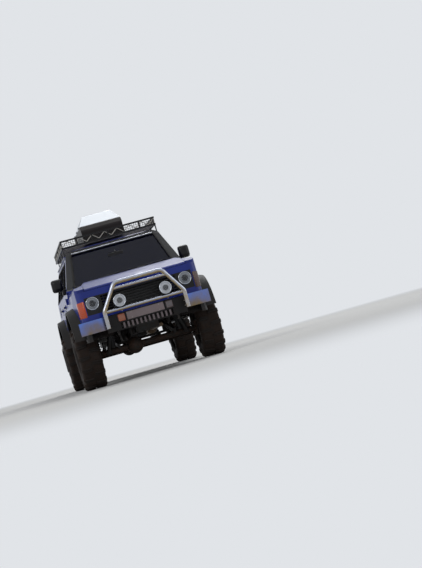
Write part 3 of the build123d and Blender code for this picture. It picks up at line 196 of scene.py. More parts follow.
def tube(path: Array, radius: float, normal: Array | tuple = (0.0, 0.0, 1.0), sides: int = 10,
         closed: bool = False) -> Shape:
    """Round bar along a path."""
    return swept(np.asarray(path, float), np.asarray(normal, float), ring_points(radius, sides), closed)


def rods(starts: Array, ends: Array, radius: float, sides: int = 8) -> Shape:
    """Many straight round bars at once: corner = end point + radius times (cos, sin) across the bar.

    Args:
        starts: Start of each bar.
        ends: End of each bar.
        radius: Radius of the bars.
        sides: Number of flat sides of a bar.

    Returns:
        All the bars as one shape.
    """
    starts, ends = np.asarray(starts, float), np.asarray(ends, float)
    along = unit(ends - starts)
    helper = np.where(np.abs(along[:, 2:]) > 0.9, np.array([1.0, 0.0, 0.0]), np.array([0.0, 0.0, 1.0]))
    first = unit(np.cross(along, helper))
    second = np.cross(along, first)
    circle = ring_points(radius, sides)
    offsets = first[:, None] * circle[None, :, :1] + second[:, None] * circle[None, :, 1:]
    points = np.stack([starts[:, None] + offsets, ends[:, None] + offsets], axis=1)
    single = grid(points[0], wrap_columns=True, caps=True)
    steps = np.arange(len(starts))[:, None, None] * (2 * sides)
    faces = tuple((group[None] + steps).reshape(-1, group.shape[1]) for group in single.faces)
    return outwards(Shape(points.reshape(-1, 3), faces))


def lathe(profile: Array, centre: tuple, axis: str = "x", segments: int = 48, closed: bool = True) -> Shape:
    """Turns (along, radius) points round an axis: point = centre + along, radius times (cos, sin).

    Args:
        profile: Points of (along, radius).
        centre: The point that the profile is measured from.
        axis: The axis to turn round.
        segments: Number of steps round the axis.
        closed: Whether the profile's end joins its start.

    Returns:
        The turned shape.
    """
    profile = np.asarray(profile, float)
    angles = np.arange(segments) * 2 * math.pi / segments
    along = np.broadcast_to(profile[:, :1], (len(profile), segments))
    first = profile[:, 1:] * np.cos(angles)
    second = profile[:, 1:] * np.sin(angles)
    order = {"x": (along, first, second), "y": (second, along, first), "z": (first, second, along)}[axis]
    points = np.stack(order, axis=-1) + np.asarray(centre, float)
    return outwards(grid(points, wrap_rows=closed, wrap_columns=True, caps=not closed))


def cube_skin(steps: tuple[int, int, int]) -> Shape:
    """Skin of a unit cube as a lattice, each of its corners from -1 to 1.

    Args:
        steps: faces along each axis.

    Returns:
        The closed surface, with shared edges merged.
    """
    parts = []
    for axis in range(3):
        others = [a for a in range(3) if a != axis]
        u, v = np.meshgrid(*(np.linspace(-1, 1, steps[a] + 1) for a in others), indexing="ij")
        for end in (-1.0, 1.0):
            points = np.empty(u.shape + (3,))
            points[..., axis] = end
            points[..., others[0]] = u
            points[..., others[1]] = v
            part = grid(points)
            flip = (end > 0) == (axis == 1)
            parts.append(Shape(part.points, tuple(g[:, ::-1] if flip else g for g in part.faces)))
    whole = joined(parts)
    merged, index = np.unique(np.round(whole.points, 6), axis=0, return_inverse=True)
    return outwards(Shape(merged, tuple(index.reshape(-1)[group] for group in whole.faces)))


def rounded_block(low: tuple, high: tuple, radius: float, steps: tuple[int, int, int] = (1, 1, 1)) -> Shape:
    """Box with rounded edges: lattice points are pulled onto the inner box, then pushed out by the radius.

    Args:
        low: Lowest corner.
        high: Highest corner.
        radius: Radius of the bars.
        steps: Number of steps along each edge.

    Returns:
        The block.
    """
    low, high = np.asarray(low, float), np.asarray(high, float)
    half = (high - low) / 2
    radius = min(radius, float(half.min()) * 0.98)
    skin = cube_skin(tuple(s + 2 for s in steps))
    inner = half - radius
    levels = []
    for axis in range(3):
        count = steps[axis] + 2
        nodes = np.concatenate([[-half[axis]], np.linspace(-inner[axis], inner[axis], count - 1), [half[axis]]])
        position = np.rint((skin.points[:, axis] + 1) / 2 * count).astype(int)
        levels.append(nodes[position])
    points = np.stack(levels, axis=-1)
    core = np.clip(points, -inner, inner)
    return Shape(core + unit(points - core) * radius + (low + high) / 2, skin.faces)


def rounded_path(corners: Array, radius: float, steps: int = 6, closed: bool = True) -> Array:
    """Path through corners, each replaced by a quadratic curve: (1-t)^2 before + 2t(1-t) corner + t^2 after.

    Args:
        corners: n x 3 corner points.
        radius: how far from its corner each curve starts and ends.
        steps: points on each curve.
        closed: True if the path returns to its first corner.

    Returns:
        The points of the path.
    """
    corners = np.asarray(corners, float)
    before = np.roll(corners, 1, 0) - corners
    after = np.roll(corners, -1, 0) - corners
    reach_before = np.minimum(radius, 0.45 * np.linalg.norm(before, axis=1, keepdims=True))
    reach_after = np.minimum(radius, 0.45 * np.linalg.norm(after, axis=1, keepdims=True))
    a = (corners + unit(before) * reach_before)[:, None]
    b = (corners + unit(after) * reach_after)[:, None]
    t = np.linspace(0, 1, steps)[None, :, None]
    curves = (1 - t) ** 2 * a + 2 * t * (1 - t) * corners[:, None] + t ** 2 * b
    if closed:
        return curves.reshape(-1, 3)
    return np.concatenate([corners[:1], curves[1:-1].reshape(-1, 3), corners[-1:]])


def frames(points: Array, turns: Array, axis: tuple = (1.0, 0.0, 0.0)) -> Array:
    """4x4 matrices that turn by each angle about an axis and then move to each point (Rodrigues' formula).

    Args:
        points: The points to work on.
        turns: Turn at each point, in radians.
        axis: The axis to turn round.

    Returns:
        One placing matrix for each point.
    """
    x, y, z = axis
    cross = np.array([[0, -z, y], [z, 0, -x], [-y, x, 0]], float)
    turns = np.asarray(turns, float)[:, None, None]
    matrices = np.tile(np.eye(4), (len(points), 1, 1))
    matrices[:, :3, :3] = np.eye(3) + np.sin(turns) * cross + (1 - np.cos(turns)) * (cross @ cross)
    matrices[:, :3, 3] = points
    return matrices


def skin_x(z: Array | float) -> Array:
    """Half width of the body's side at a height, straight between the heights of its creases."""
    return np.interp(z, SKIN_HEIGHTS, SKIN_HALVES)


def tail_y(z: Array | float) -> Array:
    """Rearmost y of the tail at a height: upright below the window and leaning forwards above."""
    return np.interp(z, (1.40, 1.50, 1.988), (TAIL_Y, TAIL_Y - 0.003, TAIL_Y - 0.124))


def add_piece(name: str, shape: Shape, body: str, finish: Material,
              replaces: tuple[str, ...] = (), sharp: float = 38.0) -> bpy.types.Object:
    """Makes a piece of a shape, dresses it and lets it ride on a body.

    Args:
        name: the piece's plain name.
        shape: its points and faces in the vehicle's frame.
        body: the moving body that carries it.
        finish: its material.
        replaces: solids that it stands for.
        sharp: angle in degrees past which an edge stays sharp.

    Returns:
        The new object.
    """
    mesh = bpy.data.meshes.new(name)
    mesh.from_pydata(shape.points.tolist(), [], [face for group in shape.faces for face in group.tolist()])
    mesh.polygons.foreach_set("use_smooth", np.ones(len(mesh.polygons), bool))
    mesh.set_sharp_from_angle(angle=math.radians(sharp))
    mesh.materials.append(finish)
    piece = bpy.data.objects.new(name, mesh)
    bpy.context.scene.collection.objects.link(piece)
    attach(piece, body)
    if replaces:
        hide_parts(*replaces)
    LOG.info("%s: %d faces on %s", name, len(mesh.polygons), body)
    return piece


# Finishes
def linear(code: str) -> tuple[float, float, float, float]:
    """Linear colour of an sRGB hex code: ((c + 0.055) / 1.055) ** 2.4, or c / 12.92 where c is small."""
    parts = [int(code[k : k + 2], 16) / 255 for k in (1, 3, 5)]
    return tuple(c / 12.92 if c <= 0.04045 else ((c + 0.055) / 1.055) ** 2.4 for c in parts) + (1.0,)


def per_mm(size: float) -> float:
    """Texture scale at which one feature is this many millimetres across: 1000 / size."""
    return 1000.0 / size


class Tree:
    """Node tree of one material, read in the vehicle's own coordinates."""

    def __init__(self, name: str) -> None:
        """Starts an empty tree with its output and its coordinates.

        Args:
            name: Its name.
        """
        self.material = bpy.data.materials.new(name)
        self.material.use_nodes = True
        self.material.node_tree.nodes.clear()
        self.output = self.add("OutputMaterial")
        self.place = self.add("TexCoord").outputs["Object"]

    def add(self, kind: str, inputs: dict | None = None, **settings: object) -> bpy.types.Node:
        """Adds a node.

        Args:
            kind: the node's type without its prefix.
            inputs: a number, a colour or another node's socket for each named or numbered input.
            settings: the node's own properties.

        Returns:
            The node.
        """
        node = self.material.node_tree.nodes.new("ShaderNode" + kind)
        for name, value in settings.items():
            setattr(node, name, value)
        for name, value in (inputs or {}).items():
            if isinstance(value, bpy.types.NodeSocket):
                self.material.node_tree.links.new(value, node.inputs[name])
            else:
                node.inputs[name].default_value = value
        return node

    def math(self, way: str, *values: object, clamp: bool = False) -> Socket:
        """Result of one sum on numbers or sockets, held between 0 and 1 where clamp is set."""
        return self.add("Math", dict(enumerate(values)), operation=way, use_clamp=clamp).outputs[0]

    def span(self, value: object, low: object, high: object, start: object, end: object) -> Socket:
        """Value carried from low..high to start..end, and held between them."""
        return self.add("MapRange", {0: value, 1: low, 2: high, 3: start, 4: end}).outputs[0]

    def blend(self, share: object, first: object, second: object) -> Socket:
        """Colour between the first, where the share is 0, and the second, where it is 1."""
        return self.add("Mix", {0: share, 6: first, 7: second}, data_type="RGBA").outputs[2]

    def noise(self, size: float, detail: float, roughness: float = 0.5, place: Socket | None = None) -> Socket:
        """Cloudy pattern whose features are this many millimetres across.

        Args:
            size: Width of the features, in millimetres.
            detail: Number of finer layers.
            roughness: Strength of the finer layers.
            place: Coordinates to use, or None for the tree's own.

        Returns:
            The pattern's value.
        """
        inputs = {
            "Vector": place or self.place, "Scale": per_mm(size), "Detail": detail, "Roughness": roughness}
        return self.add("TexNoise", inputs).outputs["Fac"]

    def bands(self, scale: float, across: str) -> Socket:
        """Sine bands across an axis."""
        wave = self.add("TexWave", {"Vector": self.place, "Scale": scale}, bands_direction=across)
        return wave.outputs["Fac"]

    def cells(self, size: float) -> Socket:
        """Distance from the middles of rounded cells, this many millimetres across."""
        return self.add("TexVoronoi", {"Vector": self.place, "Scale": per_mm(size)}).outputs["Distance"]

    def axis(self, number: int) -> Socket:
        """One coordinate: 0, 1 or 2 for x, y or z."""
        return self.add("SeparateXYZ", {0: self.place}).outputs[number]

    def upward(self) -> Socket:
        """Upward part of the face's normal: 1 where it is level and looks up."""
        return self.add("SeparateXYZ", {0: self.add("NewGeometry").outputs["Normal"]}).outputs[2]

    def ready(self, shader: bpy.types.Node) -> Material:
        """Joins the shader to the output and gives the material.

        Args:
            shader: The shader to show.

        Returns:
            The finished material.
        """
        self.material.node_tree.links.new(shader.outputs[0], self.output.inputs["Surface"])
        self.material.diffuse_color = (0.5, 0.5, 0.5, 1.0)
        return self.material


@dataclass(frozen=True)
class RoadFilm:
    """Dried mud and dust from the track, thick near the ground, thin higher up and caught on level faces; the
    mud's dark colour is partly painted shade, darker towards the ground.
    """

    # Partly real mud, partly painted shade: kept near black for the shade on the lower parts.
    mud: str = "#2c221c"
    dust: str = "#6d655b"
    foot: float = 0.35
    top: float = 1.25
    amount: float = 0.8
    level_dust: float = 0.10

    def over(self, tree: Tree, colour: object, roughness: float) -> tuple[Socket, Socket]:
        """Lays the film over a finish.

        Mask of mud and painted shade = amount x (fade with height + cloud - half), then dust where a face is
        level.

        Args:
            tree: the material's nodes.
            colour: colour or socket of the finish beneath.
            roughness: roughness of the finish beneath.

        Returns:
            Sockets of the filmed colour and roughness.
        """
        height = tree.axis(2)
        fade = tree.span(height, self.foot, self.top, 0.75, -0.35)
        cloud = tree.noise(170, 7.0, 0.68)
        speck = tree.noise(22, 4.0, 0.6)
        spots = tree.span(speck, 0.52, 0.64, 0.0, 0.55)
        wide = tree.math("MULTIPLY_ADD", cloud, 1.5, -0.75)
        both = tree.math("ADD", wide, fade)
        thrown = tree.math("MULTIPLY_ADD", spots, fade, both, clamp=True)
        mask = tree.math("MULTIPLY", thrown, self.amount, clamp=True)
        up = tree.upward()
        level = tree.span(up, 0.3, 1.0, 0.02, self.level_dust)
        settled = tree.math("MULTIPLY", cloud, level)
        dusty = tree.blend(settled, colour, linear(self.dust))
        mud_and_shade = tree.blend(mask, dusty, linear(self.mud))
        rough = tree.add("Mix", {0: mask, 2: roughness, 3: 0.85}, data_type="FLOAT")
        return mud_and_shade, rough.outputs[0]


def relief(tree: Tree, heights: list[tuple[Socket, float]], strength: float = 1.0) -> Socket:
    """Normal of several height patterns on top of each other.

    Args:
        tree: the material's nodes.
        heights: each pattern's socket, with its depth in metres.
        strength: how strongly they show.

    Returns:
        The socket of the bent normal.
    """
    normal = None
    for height, depth in heights:
        inputs = {"Height": height, "Distance": depth, "Strength": strength}
        if normal is not None:
            inputs["Normal"] = normal
        normal = tree.add("Bump", inputs).outputs[0]
    return normal


@dataclass(frozen=True)
class Enamel:
    """Two-pack enamel, sprayed on steel sheet and clear-coated: deep colour under a sharp clear reflection."""

    name: str
    colour: str
    shade: str
    film: RoadFilm = RoadFilm()
    roughness: float = 0.34
    peel: float = 1.0
    black: str = "#0d0f14"
    guard_top: float = 0.0
    screen_frame: bool = False
    trim: str = "#1d1e22"
    headlining: str = "#77787a"

    def lined(self, tree: Tree, base: Socket) -> Socket:
        """Trims the inside of the cabin.

        Dark where |x| is 32 mm short of the skin and y 32 mm short of the tail, and grey under the roof.

        Args:
            tree: the material's nodes.
            base: socket of the colour outside.

        Returns:
            Socket of the colour with its trimmed parts.
        """
        x, y, z = tree.add("SeparateXYZ", {0: tree.place}).outputs
        depth = tree.span(z, 1.40, 1.988, TAIL_Y, TAIL_Y - 0.124)
        depth = tree.math("SUBTRACT", depth, y)
        side = tree.math("ABSOLUTE", x)
        steps = list(zip(SKIN_HEIGHTS, SKIN_HALVES))
        for (z0, x0), (z1, x1) in zip(steps, steps[1:]):
            skin = tree.add("MapRange", {0: z, 1: z0, 2: z1, 3: x0, 4: x1}, clamp=False).outputs[0]
            gap = tree.math("SUBTRACT", skin, side)
            depth = tree.math("MINIMUM", depth, gap)
        up = tree.upward()
        tests = [(depth, 0.032, "GREATER_THAN"), (y, COWL_Y + 0.10, "GREATER_THAN"), (z, 1.950, "LESS_THAN")]
        mask: Socket | float = 1.0
        for value, limit, way in tests:
            test = tree.math(way, value, limit)
            mask = tree.math("MULTIPLY", mask, test)
        under = tree.math("LESS_THAN", up, -0.5)
        high = tree.math("GREATER_THAN", z, 1.90)
        lining = tree.math("MULTIPLY", under, high)
        trimmed = tree.blend(mask, base, linear(self.trim))
        return tree.blend(lining, trimmed, linear(self.headlining))

    def masked(self, tree: Tree, base: Socket) -> Socket:
        """Black stone guard below its top, and black on the windscreen's frame, where a distance passes zero.

        Args:
            tree: the material's nodes.
            base: socket of the enamel's colour.

        Returns:
            Socket of the colour with its black parts.
        """
        height = tree.axis(2)
        mask = tree.span(height, self.guard_top - 0.002, self.guard_top + 0.002, 1.0, 0.0)
        if self.screen_frame:
            plane = ScreenPlane()
            offset = tree.add("VectorMath", {0: tree.place, 1: plane.foot}, operation="SUBTRACT").outputs[0]
            lift = tree.add("VectorMath", {0: offset, 1: plane.out}, operation="DOT_PRODUCT").outputs["Value"]
            near = tree.span(lift, -0.016, -0.012, 0.0, 1.0)
            above = tree.math("GREATER_THAN", height, 1.425)
            along = tree.axis(1)
            behind = tree.math("GREATER_THAN", along, COWL_Y - 0.003)
            front = tree.math("MULTIPLY", near, above)
            front = tree.math("MULTIPLY", front, behind)
            mask = tree.math("MAXIMUM", mask, front)
            base = self.lined(tree, base)
        return tree.blend(mask, base, linear(self.black))

    def material(self) -> Material:
        """Colour drifts over 400 mm as on faded panels; the clear coat has orange peel and soft panel waves.

        Returns:
            The finished material.
        """
        tree = Tree(self.name)
        drift = tree.noise(400, 3.0)
        base = tree.blend(drift, linear(self.colour), linear(self.shade))
        colour, rough = self.film.over(tree, self.masked(tree, base), self.roughness)
        # Real orange peel is 2 to 3 mm across; 7 mm is the finest that a whole view still shows.
        peel = tree.noise(7, 1.0)
        waves = tree.noise(320, 1.0)
        normal = relief(tree, [(waves, 0.0045), (peel, 0.00006 * self.peel)])
        return tree.ready(tree.add("BsdfPrincipled", {
            "Base Color": colour, "Roughness": rough, "Normal": normal, "Specular IOR Level": 0.2,
            "Coat Weight": 0.35, "Coat Roughness": 0.06, "Coat Normal": normal}))


@dataclass(frozen=True)
class BareMetal:
    """Plated, polished or cast-and-machined metal, told apart by its colour, roughness and scratches."""

    name: str
    colour: str
    roughness: float
    stretch: Point = (1.0, 1.0, 1.0)
    scratch_mm: float = 6.0
    depth: float = 0.00004
    tarnish: str = "#6b5a48"
    tarnish_amount: float = 0.25
    # Colour of a painted ground reflection, and the height below which it shows.
    ground_reflection: str = ""
    ground_reflection_top: float = 0.0

    def material(self) -> Material:
        """Streaked roughness from buffing, fine scratches and brown tarnish in patches about 90 mm wide.

        Painted reflection of the ground: a second colour where its faces look down or, if a top height is set,
        in clouds below it.

        Returns:
            The finished material.
        """
        tree = Tree(self.name)
        along = tree.add("VectorMath", {0: tree.place, 1: self.stretch}, operation="MULTIPLY").outputs[0]
        streak = tree.noise(self.scratch_mm, 3.0, place=along)
        patch = tree.noise(90, 6.0, 0.7)
        mask = tree.span(patch, 0.52, 0.72, 0.0, self.tarnish_amount)
        bright = linear(self.colour)
        # Painted reflection: the ground's colour on faces that look down, or in clouds below a height.
        if self.ground_reflection:
            up = tree.upward()
            wave = tree.math("MULTIPLY_ADD", patch, 1.6, up)
            span = (0.55, 1.05)
            if self.ground_reflection_top:
                height = tree.axis(2)
                cloud = tree.noise(170, 2.0)
                wave = tree.math("MULTIPLY_ADD", cloud, 0.30, height)
                span = (self.ground_reflection_top + 0.04, self.ground_reflection_top + 0.26)
            ground_share = tree.span(wave, span[0], span[1], 1.0, 0.0)
            bright = tree.blend(ground_share, linear(self.colour), linear(self.ground_reflection))
        colour = tree.blend(mask, bright, linear(self.tarnish))
        rough = tree.span(streak, 0.3, 0.7, self.roughness * 0.7, self.roughness * 1.4)
        dull = tree.math("MULTIPLY_ADD", mask, 0.6, rough)
        return tree.ready(tree.add("BsdfPrincipled", {
            "Base Color": colour, "Metallic": 1.0, "Roughness": dull,
            "Normal": relief(tree, [(streak, self.depth)])}))


@dataclass(frozen=True)
class PowderCoat:
    """Powder coat baked on steel: satin colour with a fine pebble, chipped to rust in small spots."""

    name: str
    colour: str
    roughness: float = 0.42
    film: RoadFilm = RoadFilm()
    rust: str = "#5a3620"
    chips: float = 0.5

    def material(self) -> Material:
        """Pebble 4 mm wide, and chips with rust in them where a 14 mm noise passes its peak.

        Returns:
            The finished material.
        """
        tree = Tree(self.name)
        nick = tree.noise(14, 5.0, 0.75)
        chip = tree.span(nick, 0.68, 0.72, 0.0, self.chips)
        base = tree.blend(chip, linear(self.colour), linear(self.rust))
        colour, rough = self.film.over(tree, base, self.roughness)
        pebble = tree.noise(4, 1.0)
        normal = relief(tree, [(pebble, 0.00012), (chip, -0.0003)])
        return tree.ready(tree.add("BsdfPrincipled", {
            "Base Color": colour, "Roughness": rough, "Specular IOR Level": 0.25, "Normal": normal}))


class Grain(Enum):
    """Surface that a mould leaves on plastic, with its cell size and depth in millimetres."""

    PEBBLE = (5.0, 0.35)
    HAIRCELL = (3.0, 0.12)
    SMOOTH = (9.0, 0.02)


@dataclass(frozen=True)
class Moulding:
    """Injection-moulded or formed plastic with its mould's grain, greyed by sun in broad clouds."""

    name: str
    colour: str
    grain: Grain = Grain.PEBBLE
    roughness: float = 0.5
    film: RoadFilm = RoadFilm()
    faded: str = "#4a4844"
    fading: float = 0.18

    def material(self) -> Material:
        """Grain from rounded cells, so that highlights break up as on a real bumper or fascia.

        Returns:
            The finished material.
        """
        tree = Tree(self.name)
        size, depth = self.grain.value
        cells = tree.cells(size)
        cloud = tree.noise(260, 4.0)
        sun = tree.span(cloud, 0.35, 0.75, 0.0, self.fading)
        base = tree.blend(sun, linear(self.colour), linear(self.faded))
        colour, rough = self.film.over(tree, base, self.roughness)
        normal = relief(tree, [(cells, -depth * MM)])
        return tree.ready(tree.add("BsdfPrincipled", {
            "Base Color": colour, "Roughness": rough, "Specular IOR Level": 0.25, "Normal": normal}))


@dataclass(frozen=True)
class Casting:
    """Sand-cast or forged iron: lumpy skin, dark scale, rust in the hollows."""

    name: str
    colour: str
    rust: str = "#4b2f1f"
    film: RoadFilm = RoadFilm(foot=0.2, top=1.1, amount=0.85)
    metallic: float = 0.35
    lump: float = 0.0012

    def material(self) -> Material:
        """Skin of 9 mm sand marks over 60 mm lumps, with rust where both are low.

        Returns:
            The finished material.
        """
        tree = Tree(self.name)
        lumps = tree.noise(60, 6.0, 0.7)
        sand = tree.noise(9, 3.0)
        low = tree.span(lumps, 0.42, 0.6, 0.8, 0.0)
        base = tree.blend(low, linear(self.colour), linear(self.rust))
        colour, rough = self.film.over(tree, base, 0.62)
        normal = relief(tree, [(lumps, self.lump), (sand, self.lump * 0.4)])
        return tree.ready(tree.add("BsdfPrincipled", {
            "Base Color": colour, "Roughness": rough, "Metallic": self.metallic, "Normal": normal}))


@dataclass(frozen=True)
class Rubber:
    """Vulcanised rubber: near black, dry, with mud packed where the piece's own 'pack' value is high; the mud's
    dark colour is partly painted shade.
    """

    name: str
    colour: str = "#141212"
    # Mud colour kept dark: partly real mud, partly painted shade.
    mud: str = "#2b201a"
    film: RoadFilm = RoadFilm(foot=0.0, top=1.6, amount=0.55)
    reads_pack: bool = False

    def material(self) -> Material:
        """Mould marks 5 mm wide; mud = pack value x cloud, so grooves fill and the lugs' tops stay black.

        Returns:
            The finished material.
        """
        tree = Tree(self.name)
        cloud = tree.noise(75, 7.0, 0.7)
        marks = tree.noise(5, 2.0)
        colour, rough = self.film.over(tree, linear(self.colour), 0.68)
        clods = marks
        if self.reads_pack:
            pack = tree.add("Attribute", attribute_name="pack").outputs["Fac"]
            clumps = tree.span(cloud, 0.34, 0.56, 0.15, 1.0)
            fill = tree.math("MULTIPLY", pack, clumps, clamp=True)
            colour = tree.blend(fill, colour, linear(self.mud))
            rough = tree.add("Mix", {0: fill, 2: rough, 3: 0.9}, data_type="FLOAT").outputs[0]
            clods = tree.math("MULTIPLY", fill, cloud)
        normal = relief(tree, [(clods, 0.004), (marks, 0.0002)])
        return tree.ready(tree.add("BsdfPrincipled", {
            "Base Color": colour, "Roughness": rough, "Specular IOR Level": 0.25, "Normal": normal}))


@dataclass(frozen=True)
class FloatGlass:
    """Tinted float glass: see-through when faced, mirror-like at a grazing angle, with a faint wiped dust."""

    name: str
    tint: str
    clearness: float = 0.55

    def material(self) -> Material:
        """Alpha = from one minus clearness up to one, following the Fresnel curve of glass.

        Returns:
            The finished material.
        """
        tree = Tree(self.name)
        curve = tree.add("Fresnel", {"IOR": 1.52}).outputs[0]
        alpha = tree.span(curve, 0.04, 0.7, 1 - self.clearness, 1.0)
        smear = tree.noise(220, 6.0, 0.65)
        dust = tree.span(smear, 0.45, 0.8, 0.0, 0.03)
        colour = tree.blend(dust, linear(self.tint), linear("#7a7468"))
        rough = tree.span(smear, 0.4, 0.8, 0.02, 0.14)
        shader = tree.add("BsdfPrincipled", {
            "Base Color": colour, "Roughness": rough, "Specular IOR Level": 0.3, "Alpha": alpha})
        return tree.ready(shader)


@dataclass(frozen=True)
class Lens:
    """Moulded lamp lens: clear or coloured, with the flutes that spread the beam."""

    name: str
    colour: str
    alpha: float
    flute_mm: float = 10.0
    across: str = "X"
    depth: float = 0.0012
    # Painted shade: darker colour for the lamps on the vehicle's left side.
    left: str = ""
    eye: Point | None = None
    bands: tuple[tuple[float, str], ...] = ()

    def material(self) -> Material:
        """Flutes from a sine band of the given pitch, crossed by fainter ones, as pressed lenses have.

        Returns:
            The finished material.
        """
        tree = Tree(self.name)
        scale = per_mm(self.flute_mm) / 20.0
        turned = "Z" if self.across == "X" else "X"
        main = tree.bands(scale * math.pi, self.across)
        cross = tree.bands(scale * 1.2, turned)
        cloud = tree.noise(30, 5.0)
        film = tree.span(cloud, 0.5, 0.8, 0.0, 0.35)
        tint = linear(self.colour)
        for top, shade in self.bands:
            height = tree.axis(2)
            below = tree.math("LESS_THAN", height, top)
            tint = tree.blend(below, tint, linear(shade))
        if self.left:
            # Painted shade: the lamps of the vehicle's left side take a darker colour, which stands for the
            # shade on that side.
            side = tree.math("GREATER_THAN", tree.axis(0), 0.0)
            tint = tree.blend(side, tint, linear(self.left))
        colour = tree.blend(film, tint, linear("#5f564b"))
        normal = relief(tree, [(main, self.depth), (cross, self.depth * 0.4)])
        alpha = self.alpha
        if self.eye:
            # Prisms frost the outer ring, and the clear middle shows the dark bulb shield.
            x, z, reach = self.eye
            parts = tree.add("SeparateXYZ", {0: tree.place}).outputs
            across = tree.math("ADD", tree.math("ABSOLUTE", parts[0]), -x)
            upright = tree.math("ADD", parts[2], -z)
            flat = tree.add("CombineXYZ", {0: across, 1: upright}).outputs[0]
            away = tree.add("VectorMath", {0: flat}, operation="LENGTH").outputs["Value"]
            alpha = tree.span(away, reach - 0.004, reach + 0.012, self.alpha, 0.86)
        return tree.ready(tree.add("BsdfPrincipled", {
            "Base Color": colour, "Roughness": 0.08, "Alpha": alpha, "Normal": normal}))


@dataclass(frozen=True)
class Cloth:
    """Woven or tufted fabric of a seat or floor: matt, with threads over and under each other."""

    name: str
    colour: str
    light: str
    thread_mm: float = 5.0
    fuzz: float = 0.3

    def material(self) -> Material:
        """Weave = product of two sine bands; real threads are 1 mm, and drawn wider so that they show.

        Returns:
            The finished material.
        """
        tree = Tree(self.name)
        scale = per_mm(self.thread_mm) / 20.0 * math.pi
        warp = tree.bands(scale, "X")
        weft = tree.bands(scale, "DIAGONAL")
        weave = tree.math("MULTIPLY", warp, weft)
        worn = tree.noise(120, 5.0)
        amount = tree.math("MULTIPLY", weave, worn)
        colour = tree.blend(amount, linear(self.colour), linear(self.light))
        return tree.ready(tree.add("BsdfPrincipled", {
            "Base Color": colour, "Roughness": 0.92, "Sheen Weight": self.fuzz, "Sheen Roughness": 0.5,
            "Normal": relief(tree, [(weave, 0.0006)])}))


@dataclass(frozen=True)
class PlateSheet:
    """Retro-reflective sheet pressed on to an aluminium blank: a white sheet coloured grey-pink as painted
    shade, beaded and a little scuffed.
    """

    name: str
    # Painted shade: grey-pink for a white sheet in shade.
    colour: str = "#837678"

    def material(self) -> Material:
        """Beads 4 mm wide, drawn far wider than real ones, under scuffs and a thin road film.

        Returns:
            The finished material.
        """
        tree = Tree(self.name)
        film = RoadFilm(foot=0.45, top=1.1, amount=0.35)
        colour, rough = film.over(tree, linear(self.colour), 0.32)
        beads = tree.cells(4)
        return tree.ready(tree.add("BsdfPrincipled", {
            "Base Color": colour, "Roughness": rough, "Metallic": 0.2,
            "Normal": relief(tree, [(beads, -0.0002)])}))


@dataclass(frozen=True)
class FinCore:
    """Radiator core: aluminium fins folded between flat tubes, with painted shade dark between them."""

    name: str
    colour: str = "#7d8083"

    def material(self) -> Material:
        """Fins at a 6 mm pitch across and tubes at 18 mm up, real fins being about 2 mm apart.

        Returns:
            The finished material.
        """
        tree = Tree(self.name)
        fins = tree.bands(per_mm(6) / 20 * math.pi, "X")
        tubes = tree.bands(per_mm(18) / 20 * math.pi, "Z")
        dark = tree.math("MULTIPLY", fins, tubes)
        # Painted shade: near black in the gaps between fins and tubes.
        colour = tree.blend(dark, linear("#2b2926"), linear(self.colour))
        normal = relief(tree, [(fins, 0.002), (tubes, 0.003)])
        return tree.ready(tree.add("BsdfPrincipled", {
            "Base Color": colour, "Metallic": 0.7, "Roughness": 0.45, "Normal": normal}))


